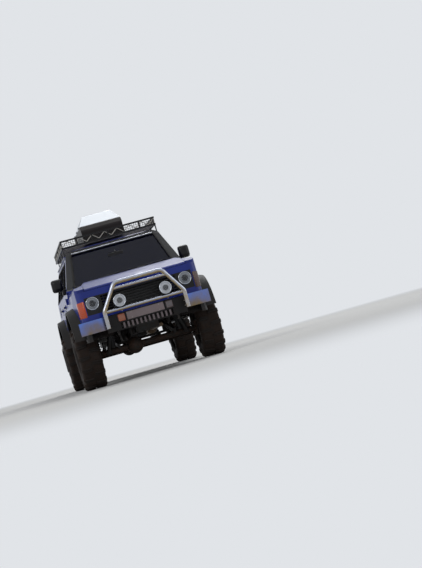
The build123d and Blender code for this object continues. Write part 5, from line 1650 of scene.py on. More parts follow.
@dataclass(frozen=True)
class EngineTop:
    """What shows on the engine with the bonnet open, on its plain block, in metres."""

    front: float = -2.030
    cover: tuple[Point, ...] = ((-0.135, -1.985, 1.246), (0.135, -1.345, 1.296))
    cylinders: tuple[float, ...] = (-1.93, -1.82, -1.71, -1.60, -1.49, -1.38)
    rail_x: float = 0.214
    log_x: float = -0.206
    fan_radius: float = 0.172
    blades: int = 7

    def rocker_cover(self) -> Shape:
        """Crowned cover with cross ribs and the oil filler's cap.

        Returns:
            The finished shape.
        """
        low, high = self.cover
        parts = [rounded_block(low, high, 0.020, (4, 10, 2))]
        for y in self.cylinders:
            foot = (low[0] + 0.02, y - 0.006, high[2] - 0.006)
            top = (high[0] - 0.02, y + 0.006, high[2] + 0.005)
            parts.append(rounded_block(foot, top, 0.003, (4, 1, 1)))
        cap = [(-0.004, 1e-5), (-0.004, 0.030), (0.010, 0.030), (0.014, 0.026), (0.022, 0.024), (0.023, 1e-5)]
        parts.append(lathe(cap, (0.060, -1.965 + 0.010, high[2]), "z", 24, closed=False))
        return joined(parts)

    def manifolds(self) -> tuple[Shape, Shape]:
        """Inlet rail with its runners on the left, exhaust log with its on the right.

        Returns:
            The two shapes, each for a finish of its own.
        """
        groups = []
        rows = ((self.rail_x, 0.150, 1.232, 0.030, 0.018), (self.log_x, -0.130, 1.214, 0.024, 0.016))
        for x, inner, z, radius, bore in rows:
            y = np.array([self.cylinders[0] - 0.035, self.cylinders[-1] + 0.035])
            bar = np.stack([np.full(2, x), y, np.full(2, z)], axis=-1)
            feet = np.stack([np.full(6, inner), self.cylinders, np.full(6, z - 0.010)], axis=-1)
            heads = feet + (x - inner, 0, 0.010)
            groups.append(joined([tube(bar, radius, (0, 0, 1), 14), rods(feet, heads, bore, 10)]))
        return groups[0], groups[1]

    def fan(self) -> tuple[Shape, Shape]:
        """Pulleys with their belt, and blade k of the fan turned k / n of a turn and pitched 28 degrees.

        Returns:
            The two shapes, each for a finish of its own.
        """
        y = self.front
        wheels = []
        for x, z, radius in ((0.0, 0.965, 0.075), (0.170, 1.110, 0.036), (0.0, 0.790, 0.085)):
            rim = [(-0.034, 1e-5), (-0.034, radius), (-0.029, radius), (-0.024, radius - 0.008),
                   (-0.019, radius), (-0.014, radius), (-0.014, 0.020), (0.004, 0.020), (0.004, 1e-5)]
            wheels.append(lathe(rim, (x, y, z), "y", 32, closed=False))
        belt = np.array([(0.085, y - 0.024, 0.790), (0.204, y - 0.024, 1.120), (0.150, y - 0.024, 1.142),
                         (-0.075, y - 0.024, 0.985), (-0.085, y - 0.024, 0.780), (0.0, y - 0.024, 0.704)])
        strap = swept(rounded_path(belt, 0.06, 6), (0, 1, 0), edging(0.004, -0.006, 0.004, 0.006), True)
        blade = rounded_block((-0.030, -0.0015, 0.050), (0.030, 0.0015, self.fan_radius), 0.0014, (2, 1, 3))
        pitched = blade.moved(frames(np.zeros((1, 3)), [math.radians(28)], (0.0, 0.0, 1.0))[0])
        turns = np.arange(self.blades) * 2 * math.pi / self.blades
        hubs = np.tile([0.0, y - 0.062, 0.965], (self.blades, 1))
        boss = [(-0.086, 1e-5), (-0.086, 0.030), (-0.074, 0.056), (-0.044, 0.056), (-0.034, 0.026),
                (-0.034, 1e-5)]
        hub = lathe(boss, (0.0, y, 0.965), "y", 28, closed=False)
        return joined(wheels), joined([strap, hub, pitched.repeated(frames(hubs, turns, (0.0, 1.0, 0.0)))])

    def hoses(self) -> Shape:
        """Both radiator hoses, the heater hoses to the firewall and the breather.

        Returns:
            The finished shape.
        """
        y = self.front
        runs = (
            # radius, then four corners of the hose's middle line
            (0.019, (0.10, y + 0.06, 1.262), (0.10, y - 0.04, 1.268), (0.22, y - 0.085, 1.225),
             (0.22, -2.146, 1.185)),
            (0.019, (-0.14, y + 0.01, 0.80), (-0.14, y - 0.06, 0.80), (-0.25, y - 0.08, 0.84),
             (-0.25, -2.146, 0.86)),
            (0.010, (-0.04, -1.352, 1.262), (-0.04, -1.27, 1.268), (-0.10, -1.20, 1.23), (-0.10, -1.094, 1.20)),
            (0.010, (0.02, -1.352, 1.262), (0.02, -1.27, 1.268), (-0.04, -1.20, 1.23), (-0.04, -1.094, 1.20)),
            (0.009, (0.08, -1.44, 1.296), (0.08, -1.44, 1.318), (0.17, -1.50, 1.300), (0.205, -1.50, 1.258)),
        )
        paths = [(rounded_path(np.array(run), 0.05, 7, closed=False), radius) for radius, *run in runs]
        return joined([tube(path, radius, (0.35, 0.2, 1.0), 12) for path, radius in paths])

    def header_tank(self) -> Shape:
        """Radiator's top tank with its pressure cap, and its bottom tank.

        Returns:
            The finished shape.
        """
        tank = rounded_block((-0.372, -2.196, 1.180), (0.372, -2.144, 1.234), 0.012, (8, 1, 1))
        foot = rounded_block((-0.372, -2.196, 0.793), (0.372, -2.144, 0.830), 0.012, (8, 1, 1))
        cap = [(-0.003, 1e-5), (-0.003, 0.020), (0.006, 0.024), (0.012, 0.024), (0.014, 0.012), (0.014, 1e-5)]
        return joined([tank, foot, lathe(cap, (-0.180, -2.170, 1.234), "z", 24, closed=False)])

    def bolts(self) -> Shape:
        """Cover bolts down both edges.

        Returns:
            The finished shape.
        """
        low, high = self.cover
        y = np.array(self.cylinders) + 0.045
        edges = (low[0] - 0.006, high[0] + 0.006)
        feet = np.concatenate([np.stack([np.full(6, x), y, np.full(6, 1.262)], axis=-1) for x in edges])
        return rods(feet, feet + (0, 0, 0.012), 0.007, 6)

    def build(self, finishes: Finishes) -> None:
        """Every piece, carried by the body.

        Args:
            finishes: The finished materials, by name.
        """
        inlet, exhaust = self.manifolds()
        metal, belts = self.fan()
        rows = (
            ("engine_rocker_cover", self.rocker_cover(), "alloy_cover_cast", "engine_iron"),
            ("engine_inlet_rail", inlet, "alloy_cover_cast", "engine_iron"),
            ("engine_exhaust_log", exhaust, "axle_iron_cast", "engine_iron"),
            ("engine_pulleys", metal, "bolt_steel_zinc_plated", "engine_iron"),
            ("engine_fan_belt", belts, "satin_black_plastic", "black_plastic"),
            ("engine_hoses", self.hoses(), "seal_rubber_extruded", "black_plastic"),
            ("engine_bolts", self.bolts(), "bolt_steel_zinc_plated", "engine_iron"),
            ("radiator_tanks", self.header_tank(), "satin_black_plastic", "black_plastic"),
        )
        for name, shape, finish, slot in rows:
            add_piece(name, shape, "body", finishes[finish])


# Glass edges, wipers and strips
@dataclass(frozen=True)
class ScreenPlane:
    """The leaning plane of the windscreen: foot, direction up the glass and outward normal, in metres."""

    foot: Point = (0.0, -1.075, 1.440)
    up: Point = (0.0, 0.7133, 0.7008)
    out: Point = (0.0, -0.7008, 0.7133)

    def at(self, x: Array | float, s: Array | float, lift: Array | float = 0.0) -> Array:
        """Point = foot + x across + s up the glass + lift along its normal.

        Args:
            x: Its place across the vehicle, in metres.
            s: Distance up the screen, in metres.
            lift: Distance off the screen, in metres.

        Returns:
            The point, or the points.
        """
        x, s, lift = np.broadcast_arrays(np.asarray(x, float), s, lift)
        across = np.stack([x, np.zeros_like(x), np.zeros_like(x)], axis=-1)
        foot, up, out = (np.asarray(vector) for vector in (self.foot, self.up, self.out))
        return foot + across + s[..., None] * up + lift[..., None] * out


@dataclass(frozen=True)
class GlassEdges:
    """Rubber seals round all the glass, and the bright strip over the windscreen, which also stands in for a
    highlight along the roof's front edge, in metres.
    """

    windows: tuple[tuple[str, Outline], ...] = (
        # body that carries the seal, then y and z of the window's corners
        ("front_side_door", ((-0.890, 1.440), (-0.434, 1.885), (0.009, 1.885), (0.017, 1.440))),
        ("rear_side_door", ((0.137, 1.440), (0.135, 1.885), (0.956, 1.885), (0.974, 1.440))),
        ("body", ((1.104, 1.440), (1.086, 1.885), (2.000, 1.885), (2.094, 1.440))),
    )
    tail_window: Outline = (
        (-0.560, 1.440), (0.560, 1.440), (0.506, 1.850), (-0.506, 1.850))
    section: Outline = (
        (-0.009, 0.0), (-0.009, 0.0018), (-0.006, 0.0034), (0.006, 0.0034), (0.009, 0.0018), (0.009, 0.0),
        (0.0025, -0.0005), (0.0025, -0.018), (-0.0025, -0.018), (-0.0025, -0.0005),
    )
    strip: Outline = (
        (-0.010, -0.004), (-0.009, 0.004), (-0.004, 0.0075), (0.007, 0.0075), (0.011, 0.002), (0.011, -0.004))
    side_normal: Point = (0.961, 0.0, 0.275)
    tail_normal: Point = (0.0, 0.97, 0.24)
    plane: ScreenPlane = ScreenPlane()

    def seal(self, path: Array, normal: tuple, wide: float = 1.0, tall: float = 1.0) -> Shape:
        """The seal's section, scaled in width and height, carried round a window."""
        return swept(path, normal, np.array(self.section) * (wide, tall), True)

    def side_seal(self, corners: Outline) -> Shape:
        """Seal of a left window, its path pulled onto the skin of the body's side.

        Args:
            corners: Corners of the window.

        Returns:
            The finished shape.
        """
        path = rounded_path(np.array([(skin_x(z), y, z) for y, z in corners]), 0.030, 7)
        path[:, 0] = skin_x(path[:, 2])
        return self.seal(path, self.side_normal)

    def screen_seal(self) -> Shape:
        """Seal of the windscreen, in the plane of its glass."""
        corners = self.plane.at([-0.736, 0.736, 0.629, -0.629], [0.012, 0.012, 0.742, 0.742])
        return self.seal(rounded_path(corners, 0.045, 8), self.plane.out, 1.5, 1.2)

    def header_strip(self) -> Shape:
        """Rounded bright strip along the top of the windscreen, which also stands in for a highlight along the
        roof's front edge.
        """
        return swept(self.plane.at(np.linspace(-0.615, 0.615, 9), 0.752), self.plane.out, np.array(self.strip))

    def tail_seal(self) -> Shape:
        """Seal of the tail door's window, its path pulled onto the tail.

        Returns:
            The finished shape.
        """
        path = rounded_path(np.array([(x, 0.0, z) for x, z in self.tail_window]), 0.042, 8)
        path[:, 1] = tail_y(path[:, 2])
        return self.seal(path, self.tail_normal, 1.2)

    def build(self, finishes: Finishes) -> None:
        """Side seals on their doors or on the body, then the windscreen's and the tail door's.

        Args:
            finishes: The finished materials, by name.
        """
        rubber = finishes["seal_rubber_extruded"]
        for side, sign in SIDES:
            for body, corners in self.windows:
                rides = body if body == "body" else f"{body}_{side}"
                seal = self.side_seal(corners).on(sign)
                add_piece(f"window_seal_{body}_{side}", seal, rides, rubber)
        add_piece("windscreen_seal", self.screen_seal(), "body", rubber)
        add_piece("windscreen_header_strip", self.header_strip(), "body", finishes["bright_trim_painted_highlight"])
        add_piece("rear_window_seal", self.tail_seal(), "tail_door", rubber)


@dataclass(frozen=True)
class Wiper:
    """Parked wiper: pivot with its cap, arm, and a blade in a light bow on the glass."""

    pivot_x: float
    reach: float = 0.50
    blade: float = 0.46
    height: float = 0.075

    def shape(self) -> Shape:
        """Arm from the cowl to the blade's middle, and the blade along the foot of the glass.

        Returns:
            The finished shape.
        """
        plane = ScreenPlane()
        start = plane.at(self.pivot_x, -0.012, 0.022)
        knee = plane.at(self.pivot_x + 0.06, 0.020, 0.030)
        end = plane.at(self.pivot_x + self.reach, self.height, 0.020)
        arm = tube(np.stack([start, knee, end]), 0.0055, plane.out, 8)
        dome = [(-0.004, 1e-5), (-0.004, 0.012), (0.020, 0.015), (0.028, 0.010), (0.029, 1e-5)]
        cap = lathe(dome, (0, 0, 0), "z", 20, closed=False)
        lean = frames(np.array([plane.at(self.pivot_x, -0.012, 0.0)]), [math.radians(44.5)], (1.0, 0.0, 0.0))[0]
        parts = [arm, cap.moved(lean)]
        across = np.linspace(-0.5, 0.5, 9) * self.blade + self.pivot_x + self.reach
        bow = 0.015 - 0.005 * np.cos(np.linspace(-1, 1, 9) * math.pi / 2)
        bridge = plane.at(across[1:-1], self.height, bow[1:-1] + 0.004)
        parts.append(tube(bridge, 0.0045, plane.out, 8))
        rubber = plane.at(across, self.height, -0.008)
        section = [(-0.004, 0.012), (-0.004, 0.020), (0.004, 0.020), (0.004, 0.012), (0.001, 0.0),
                   (-0.001, 0.0)]
        parts.append(swept(rubber, plane.out, np.array(section)))
        return joined(parts)


@dataclass(frozen=True)
class Wipers:
    """Both front wipers, the washer jets on the bonnet and the rear wiper, in metres."""

    pivots: tuple[float, ...] = (-0.55, -0.04)
    jets: tuple[float, ...] = (-0.28, 0.28)
    arm: tuple[Point, ...] = (
        (-0.30, 0.022, 1.392), (-0.27, 0.026, 1.420), (-0.02, 0.012, 1.462))
    blade: tuple[float, float] = (-0.20, 0.16)
    blade_z: float = 1.466

    def rear(self) -> Shape:
        """Rear wiper: arm through points at (x, distance from the tail, z), pivot and straight blade.

        Returns:
            The finished shape.
        """
        path = np.array(self.arm)
        path[:, 1] += tail_y(path[:, 2])
        cap = [(-0.004, 1e-5), (-0.004, 0.018), (0.018, 0.016), (0.024, 1e-5)]
        pivot = lathe(cap, (self.arm[0][0], TAIL_Y, self.arm[0][2]), "y", 20, closed=False)
        x = np.linspace(*self.blade, 7)
        blade = np.stack([x, np.full(7, TAIL_Y + 0.004), np.full(7, self.blade_z)], axis=-1)
        rubber = swept(blade, (0, 1, 0), edging(0.005, -0.010, 0.006, 0.006))
        return joined([tube(path, 0.005, (0, 1, 0), 8), pivot, rubber])

    def build(self, finishes: Finishes) -> None:
        """Wipers on the body and the tail door, jets on the bonnet.

        Args:
            finishes: The finished materials, by name.
        """
        black = finishes["satin_black_plastic"]
        front = joined([Wiper(x).shape() for x in self.pivots])
        add_piece("front_wipers", front, "body", black)
        jets = [rounded_block((x - 0.012, -1.235, 1.452), (x + 0.012, -1.205, 1.4655), 0.004)
                for x in self.jets]
        add_piece("washer_jets", joined(jets), "bonnet_panel", black)
        add_piece("rear_wiper", self.rear(), "tail_door", black)


@dataclass(frozen=True)
class DoorTrim:
    """Rub strips and handles of the side doors, the filler flap's gap and the tail door's grip, in metres."""

    doors: tuple[tuple[str, float, float, float], ...] = (
        # body, the strip's front and rear end, the door's rear edge
        ("front_side_door", -0.945, 0.052, B_LINE_Y),
        ("rear_side_door", 0.098, 0.880, C_LINE_Y),
    )
    strip: Outline = (
        (-0.017, -0.003), (-0.017, 0.004), (-0.012, 0.0095), (0.012, 0.0095), (0.017, 0.004), (0.017, -0.003))
    strip_x: float = 0.885
    strip_z: float = 1.020
    handle: float = 0.150
    handle_z: float = 1.262
    inset: float = 0.062
    lock_z: float = 1.205
    flap: Outline = ((1.68, 1.21), (1.82, 1.21), (1.82, 1.36), (1.68, 1.36))

    def rub_strip(self, low: float, high: float) -> Shape:
        """Level strip with short steps at its ends.

        Args:
            low: Its front end, in metres.
            high: Its rear end, in metres.

        Returns:
            The finished shape.
        """
        y = np.concatenate([[low, low + 0.012], np.linspace(low + 0.03, high - 0.03, 6), [high - 0.012, high]])
        path = np.stack([np.full(len(y), self.strip_x), y, np.full(len(y), self.strip_z)], axis=-1)
        return swept(path, (1, 0, 0), np.array(self.strip))

    def pull_handle(self, rear: float) -> Shape:
        """Grip over the handle's solid, the cup pressed into the skin behind it, and the lock below.

        Args:
            rear: The door's rear end, in metres.

        Returns:
            The finished shape.
        """
        start = rear - self.inset - self.handle
        skin, z = float(skin_x(self.handle_z)), self.handle_z
        low = (skin + 0.0125, start - 0.002, z - 0.0155)
        high = (skin + 0.0285, start + self.handle + 0.002, z + 0.0155)
        grip = rounded_block(low, high, 0.007, (1, 4, 1))
        bowl = [(-0.002, 1e-5), (-0.002, 0.036), (0.0035, 0.034), (0.0015, 0.026), (0.0012, 1e-5)]
        cup = lathe(bowl, (skin, start + self.handle / 2, z), "x", 32, closed=False)
        barrel = [(-0.002, 1e-5), (-0.002, 0.010), (0.004, 0.009), (0.0045, 1e-5)]
        lock = lathe(barrel, (float(skin_x(self.lock_z)), start + 0.120, self.lock_z), "x", 20, closed=False)
        return joined([grip, cup, lock])

    def filler_gap(self) -> Shape:
        """Shut line of the filler flap, as it would be on the left side's skin.

        Returns:
            The finished shape.
        """
        path = rounded_path(np.array([(float(skin_x(z)), y, z) for y, z in self.flap]), 0.024, 6)
        bead = np.array([(-0.002, -0.002), (-0.002, 0.0012), (0.002, 0.0012), (0.002, -0.002)])
        return swept(path, (1, 0, 0.07), bead, True)

    def build(self, finishes: Finishes) -> None:
        """Strips and handles on their doors, the filler's gap on the right and the grip on the tail door.

        Args:
            finishes: The finished materials, by name.
        """
        grained = finishes["grained_black_plastic"]
        for side, sign in SIDES:
            for body, low, high, rear in self.doors:
                rides = f"{body}_{side}"
                strip, handle = self.rub_strip(low, high).on(sign), self.pull_handle(rear).on(sign)
                add_piece(f"rub_strip_{rides}", strip, rides, grained)
                add_piece(f"pull_handle_{rides}", handle, rides, grained)
        add_piece("filler_flap_gap", self.filler_gap().on(-1), "body", finishes["seal_rubber_extruded"])
        grip = rounded_block((-0.255, TAIL_Y - 0.004, 1.030), (-0.105, TAIL_Y + 0.016, 1.062), 0.006, (4, 1, 1))
        add_piece("tail_door_grip", grip, "tail_door", grained)


# Front and rear trim
@dataclass(frozen=True)
class PlateFrame:
    """Frame and screws of a blank plate, by its face, the way it looks and its lower edge, in metres."""

    face: float
    way: float
    low: float
    half: float = 0.260
    tall: float = 0.110

    def edge(self) -> Shape:
        """Frame round the plate.

        Returns:
            The finished shape.
        """
        corners = upright(-self.half, self.half, self.face, self.low, self.low + self.tall)
        section = edging(0.004, -0.0055, 0.0035, 0.0025)
        return swept(rounded_path(corners, 0.010, 5), (0, self.way, 0), section, True)

    def screws(self) -> Shape:
        """Four screw heads near the plate's corners.

        Returns:
            The finished shape.
        """
        x, z = self.half - 0.07, (self.low + 0.02, self.low + self.tall - 0.02)
        spots = np.array([(a, self.face, b) for a in (-x, x) for b in z])
        return rods(spots - (0, self.way * 0.001, 0), spots + (0, self.way * 0.0025, 0), 0.006, 12)


@dataclass(frozen=True)
class BumperTrim:
    """Plate frames, clamps of the bull bar and the spot lamps, and ribs under the front plate, in metres."""

    plates: tuple[PlateFrame, ...] = (PlateFrame(-2.412, -1.0, 0.776), PlateFrame(2.418, 1.0, 0.676))
    collars: tuple[float, ...] = (-0.315, 0.315)
    collar_y: float = -2.582
    feet: tuple[float, ...] = (-0.534, 0.534)
    foot_y: float = -2.47
    foot_bolts: tuple[float, ...] = (0.756, 0.820)
    ribs: int = 12
    rib_pitch: float = 0.058

    def clamps(self) -> Shape:
        """Collars of the spot lamps with a bolt under each, and through bolts in the feet of the bar.

        Returns:
            The finished shape.
        """
        parts = []
        for x in self.collars:
            ring = [(-0.016, 0.0235), (0.016, 0.0235), (0.016, 0.0202), (-0.016, 0.0202)]
            parts.append(lathe(ring, (x, self.collar_y, 0.936), "x", 24))
            parts.append(rods([(x, self.collar_y, 0.910)], [(x, self.collar_y, 0.903)], 0.006, 6))
        for x in self.feet:
            sign = math.copysign(1.0, x)
            for z in self.foot_bolts:
                for ends in ((-0.012, -0.004), (0.004, 0.014)):
                    start, end = ([(x + sign * along, self.foot_y, z)] for along in ends)
                    parts.append(rods(start, end, 0.009, 6))
        return joined(parts)

    def rib(self, x: float) -> Shape:
        """One upright rib on the bumper's face."""
        return rounded_block((x - 0.013, -2.4095, 0.684), (x + 0.013, -2.4035, 0.758), 0.0025)

    def build(self, finishes: Finishes) -> None:
        """Frames and screws of both plates, clamps and ribs.

        Args:
            finishes: The finished materials, by name.
        """
        zinc = finishes["zinc_plated_wire"]
        edges, screws = (joined(list(parts)) for parts in zip(*((p.edge(), p.screws()) for p in self.plates)))
        add_piece("plate_frames", edges, "body", finishes["satin_black_plastic"])
        add_piece("plate_screws", screws, "body", zinc)
        add_piece("bar_clamps", self.clamps(), "body", zinc)
        # The ribs' grey is partly dust and partly painted highlight on the black bumper's lit ribs.
        places = (np.arange(self.ribs) - (self.ribs - 1) / 2) * self.rib_pitch
        ribs = joined([self.rib(x) for x in places])
        add_piece("bumper_ribs", ribs, "body", finishes["grey_ribs_dust_and_highlight"])


# Roof rack and box
@dataclass(frozen=True)
class RackWire:
    """Wire floor, zigzag lace and net of the roof rack's basket, in metres."""

    half: float = 0.708
    front: float = -0.418
    rear: float = 1.948
    overlap: float = 0.012
    wires: int = 21
    wire_pitch: float = 0.0665
    wire_z: float = 2.0915
    cross_wires: int = 34
    cross_ends: tuple[float, float] = (-0.39, 1.92)
    cross_z: float = 2.0875
    lace_z: tuple[float, float] = (2.100, 2.178)
    lace_pitch: float = 0.096
    net_z: float = 2.096
    net_height: float = 0.086
    net_pitch: float = 0.032
    net_lines: tuple[float, ...] = (2.122, 2.152)

    def edges(self) -> list[tuple[Array, Array]]:
        """Ends of the basket's four edges in plan, the side ones longer by the overlap.

        Returns:
            Start and end of each edge.
        """
        w, y0, y1 = self.half, self.front, self.rear
        a, b = y0 - self.overlap, y1 + self.overlap
        rows = (((-w, y0), (w, y0)), ((-w, y1), (w, y1)), ((-w, a), (-w, b)), ((w, a), (w, b)))
        return [(np.array(start), np.array(end)) for start, end in rows]

    def floor(self) -> Shape:
        """Long wires with cross wires below them.

        Returns:
            The finished shape.
        """
        x = (np.arange(self.wires) - self.wires // 2) * self.wire_pitch
        starts = np.stack([x, np.full(len(x), self.front), np.full(len(x), self.wire_z)], axis=-1)
        y = np.linspace(*self.cross_ends, self.cross_wires)
        across = np.stack([np.full(len(y), -self.half), y, np.full(len(y), self.cross_z)], axis=-1)
        return joined([rods(starts, starts + (0, self.rear - self.front, 0), 0.0028, 6),
                       rods(across, across + (2 * self.half, 0, 0), 0.0024, 6)])

    def lace(self) -> Shape:
        """Zigzag: corner k of n stands at k / n of its edge, low where k is even and high where it is odd.

        Returns:
            The finished shape.
        """
        parts = []
        for start, end in self.edges():
            turns = np.arange(round(float(np.linalg.norm(end - start)) / self.lace_pitch) + 1)[:, None]
            height = np.where(turns % 2 == 0, *self.lace_z)
            corners = np.concatenate([start + turns / turns[-1] * (end - start), height], axis=1)
            parts.append(rods(corners[:-1], corners[1:], 0.0062, 7))
        return joined(parts)

    def net(self) -> Shape:
        """Upright wires at even steps along each edge, and the level wires that they cross.

        Returns:
            The finished shape.
        """
        parts = []
        for start, end in self.edges():
            count = round(float(np.linalg.norm(end - start)) / self.net_pitch)
            share = (np.arange(count) + 0.5)[:, None] / count
            foot = np.concatenate([start + share * (end - start), np.full((count, 1), self.net_z)], axis=1)
            parts.append(rods(foot, foot + (0, 0, self.net_height), 0.0028, 6))
            parts += [rods([(*start, z)], [(*end, z)], 0.0028, 6) for z in self.net_lines]
        return joined(parts)

    def build(self, finishes: Finishes) -> None:
        """Floor, lace and net, each one piece.

        Args:
            finishes: The finished materials, by name.
        """
        zinc = finishes["zinc_plated_wire"]
        add_piece("rack_wire_floor", self.floor(), "body", zinc)
        add_piece("rack_lace", self.lace(), "body", zinc)
        add_piece("rack_net", self.net(), "body", finishes["powder_black_rack"])


@dataclass(frozen=True)
class RoofBoxFittings:
    """Two latches on the roof box's left side and four pads under it, in metres."""

    latches: tuple[float, ...] = (0.16, 1.02)
    side: float = 0.268
    pads_x: tuple[float, ...] = (-0.25, 0.17)
    pads_y: tuple[float, ...] = (0.0, 1.25)

    def latch(self, y: float) -> list[Shape]:
        """Latch body over the box's joint, and its lock.

        Args:
            y: Its place along the vehicle, in metres.

        Returns:
            Its parts.
        """
        low, high = (self.side, y - 0.035, 2.300), (self.side + 0.018, y + 0.035, 2.3575)
        block = rounded_block(low, high, 0.005, (1, 2, 2))
        barrel = [(0.0, 1e-5), (0.0, 0.012), (0.006, 0.011), (0.007, 1e-5)]
        return [block, lathe(barrel, (self.side + 0.017, y, 2.325), "x", 20, closed=False)]

    def build(self, finishes: Finishes) -> None:
        """Latches and pads.

        Args:
            finishes: The finished materials, by name.
        """
        latches = joined([part for y in self.latches for part in self.latch(y)])
        add_piece("roof_box_latches", latches, "body", finishes["satin_black_plastic"])
        pads = [rounded_block((x - 0.03, y - 0.05, 2.0885), (x + 0.03, y + 0.05, 2.0975), 0.003)
                for x in self.pads_x for y in self.pads_y]
        add_piece("roof_box_pads", joined(pads), "body", finishes["seal_rubber_extruded"])


# Cabin
@dataclass(frozen=True)
class Pad:
    """One cushion: a crowned block with sewn channels, leaning back about the vehicle's X axis, in metres."""

    name: str
    centre: Point
    size: Point
    lean: float = 0.0
    crown: float = 0.014
    channels: tuple[float, ...] = ()
    channel_depth: float = 0.007
    voxel: float = 0.016
    swell: float = 0.012

    def blank(self) -> Shape:
        """Unswollen form: rounded block whose faces rise by crown x (1 - u squared) x (1 - v squared).

        Returns:
            The finished shape.
        """
        half = np.array(self.size) / 2
        block = rounded_block(tuple(-half), tuple(half), min(self.size) * 0.34, (10, 10, 4))
        u, v, w = (block.points / half).T
        bulge = self.crown * (1 - u ** 2).clip(0, 1) * (1 - v ** 2).clip(0, 1)
        pull = 1 - 0.035 * (1 - w ** 2).clip(0, 1) * (np.abs(u * v) < 0.6)
        points = block.points * np.stack([pull, pull, np.ones_like(pull)], axis=-1)
        points[:, 2] += np.sign(w) * bulge * np.abs(w).clip(0, 1)
        return Shape(points, block.faces)

    def place(self) -> Array:
        """Matrix from the pad's own frame to the vehicle's: a turn about X, then a move."""
        return frames(np.array([self.centre]), [self.lean])[0]

    def press(self, points: Array) -> Array:
        """Points with the channels pressed in: depth x exp(-(distance / 9 mm) squared) across the face.

        Args:
            points: The points to work on.

        Returns:
            The pressed points.
        """
        half = np.array(self.size) / 2
        depth = np.zeros(len(points))
        for channel in self.channels:
            depth += self.channel_depth * np.exp(-(((points[:, 0] - channel * half[0]) / 0.009) ** 2))
        top = (points[:, 2] > 0) & (np.abs(points[:, 1]) < half[1] * 0.86)
        pressed = points.copy()
        pressed[:, 2] -= depth * top
        return pressed

    def piping(self) -> Shape:
        """Cord sewn round the edge of the pad's face.

        Returns:
            The finished shape.
        """
        half = np.array(self.size) / 2
        x, y, z = half[0] * 0.955, half[1] * 0.955, half[2] * 0.62
        path = rounded_path(np.array([(-x, -y, z), (x, -y, z), (x, y, z), (-x, y, z)]), 0.06, 7)
        return tube(path, 0.0042, (0, 0, 1), 8, True)

    def build(self, finishes: Finishes) -> bpy.types.Object:
        """Swells the blank by cloth under air pressure, caps how far its points move, and presses the channels.

        Args:
            finishes: the vehicle's finishes.

        Returns:
            The finished cushion, with its piping beside it.
        """
        cover = finishes["seat_cloth_woven"]
        piece = add_piece(self.name, self.blank(), "body", cover, sharp=80)
        remesh = piece.modifiers.new("even_faces", "REMESH")
        remesh.mode, remesh.voxel_size, remesh.use_smooth_shade = "VOXEL", self.voxel, True
        bake(piece)
        before = read_points(piece.data)
        after = before
        cloth = piece.modifiers.new("air", "CLOTH")
        cloth.settings.use_pressure = True
        cloth.settings.uniform_pressure_force = 4.0
        cloth.settings.effector_weights.gravity = 0.0
        scene = bpy.context.scene
        for step in range(1, 21):
            scene.frame_set(step)
        bake(piece)
        after = read_points(piece.data)
        scene.frame_set(1)
        step = after - before
        length = np.linalg.norm(step, axis=1, keepdims=True)
        capped = before + step * np.minimum(1.0, self.swell / np.maximum(length, 1e-9))
        points = self.press(capped)
        matrix = self.place()
        piece.data.vertices.foreach_set("co", (points @ matrix[:3, :3].T + matrix[:3, 3]).ravel())
        piece.data.update()
        smooth = piece.modifiers.new("rounded", "SUBSURF")
        smooth.levels = smooth.render_levels = 1
        add_piece(self.name + "_piping", self.piping().moved(matrix), "body", finishes["satin_black_plastic"])
        return piece


def bake(piece: bpy.types.Object) -> None:
    """Makes a piece's modifiers part of its mesh.

    Args:
        piece: The piece to work on.
    """
    bpy.context.view_layer.update()
    shaped = bpy.data.meshes.new_from_object(piece.evaluated_get(bpy.context.evaluated_depsgraph_get()))
    piece.modifiers.clear()
    piece.data = shaped


def read_points(mesh: bpy.types.Mesh) -> Array:
    """The mesh's points as an n x 3 array.

    Args:
        mesh: The mesh to read.

    Returns:
        The mesh's points.
    """
    flat = np.empty(len(mesh.vertices) * 3)
    mesh.vertices.foreach_get("co", flat)
    return flat.reshape(-1, 3)


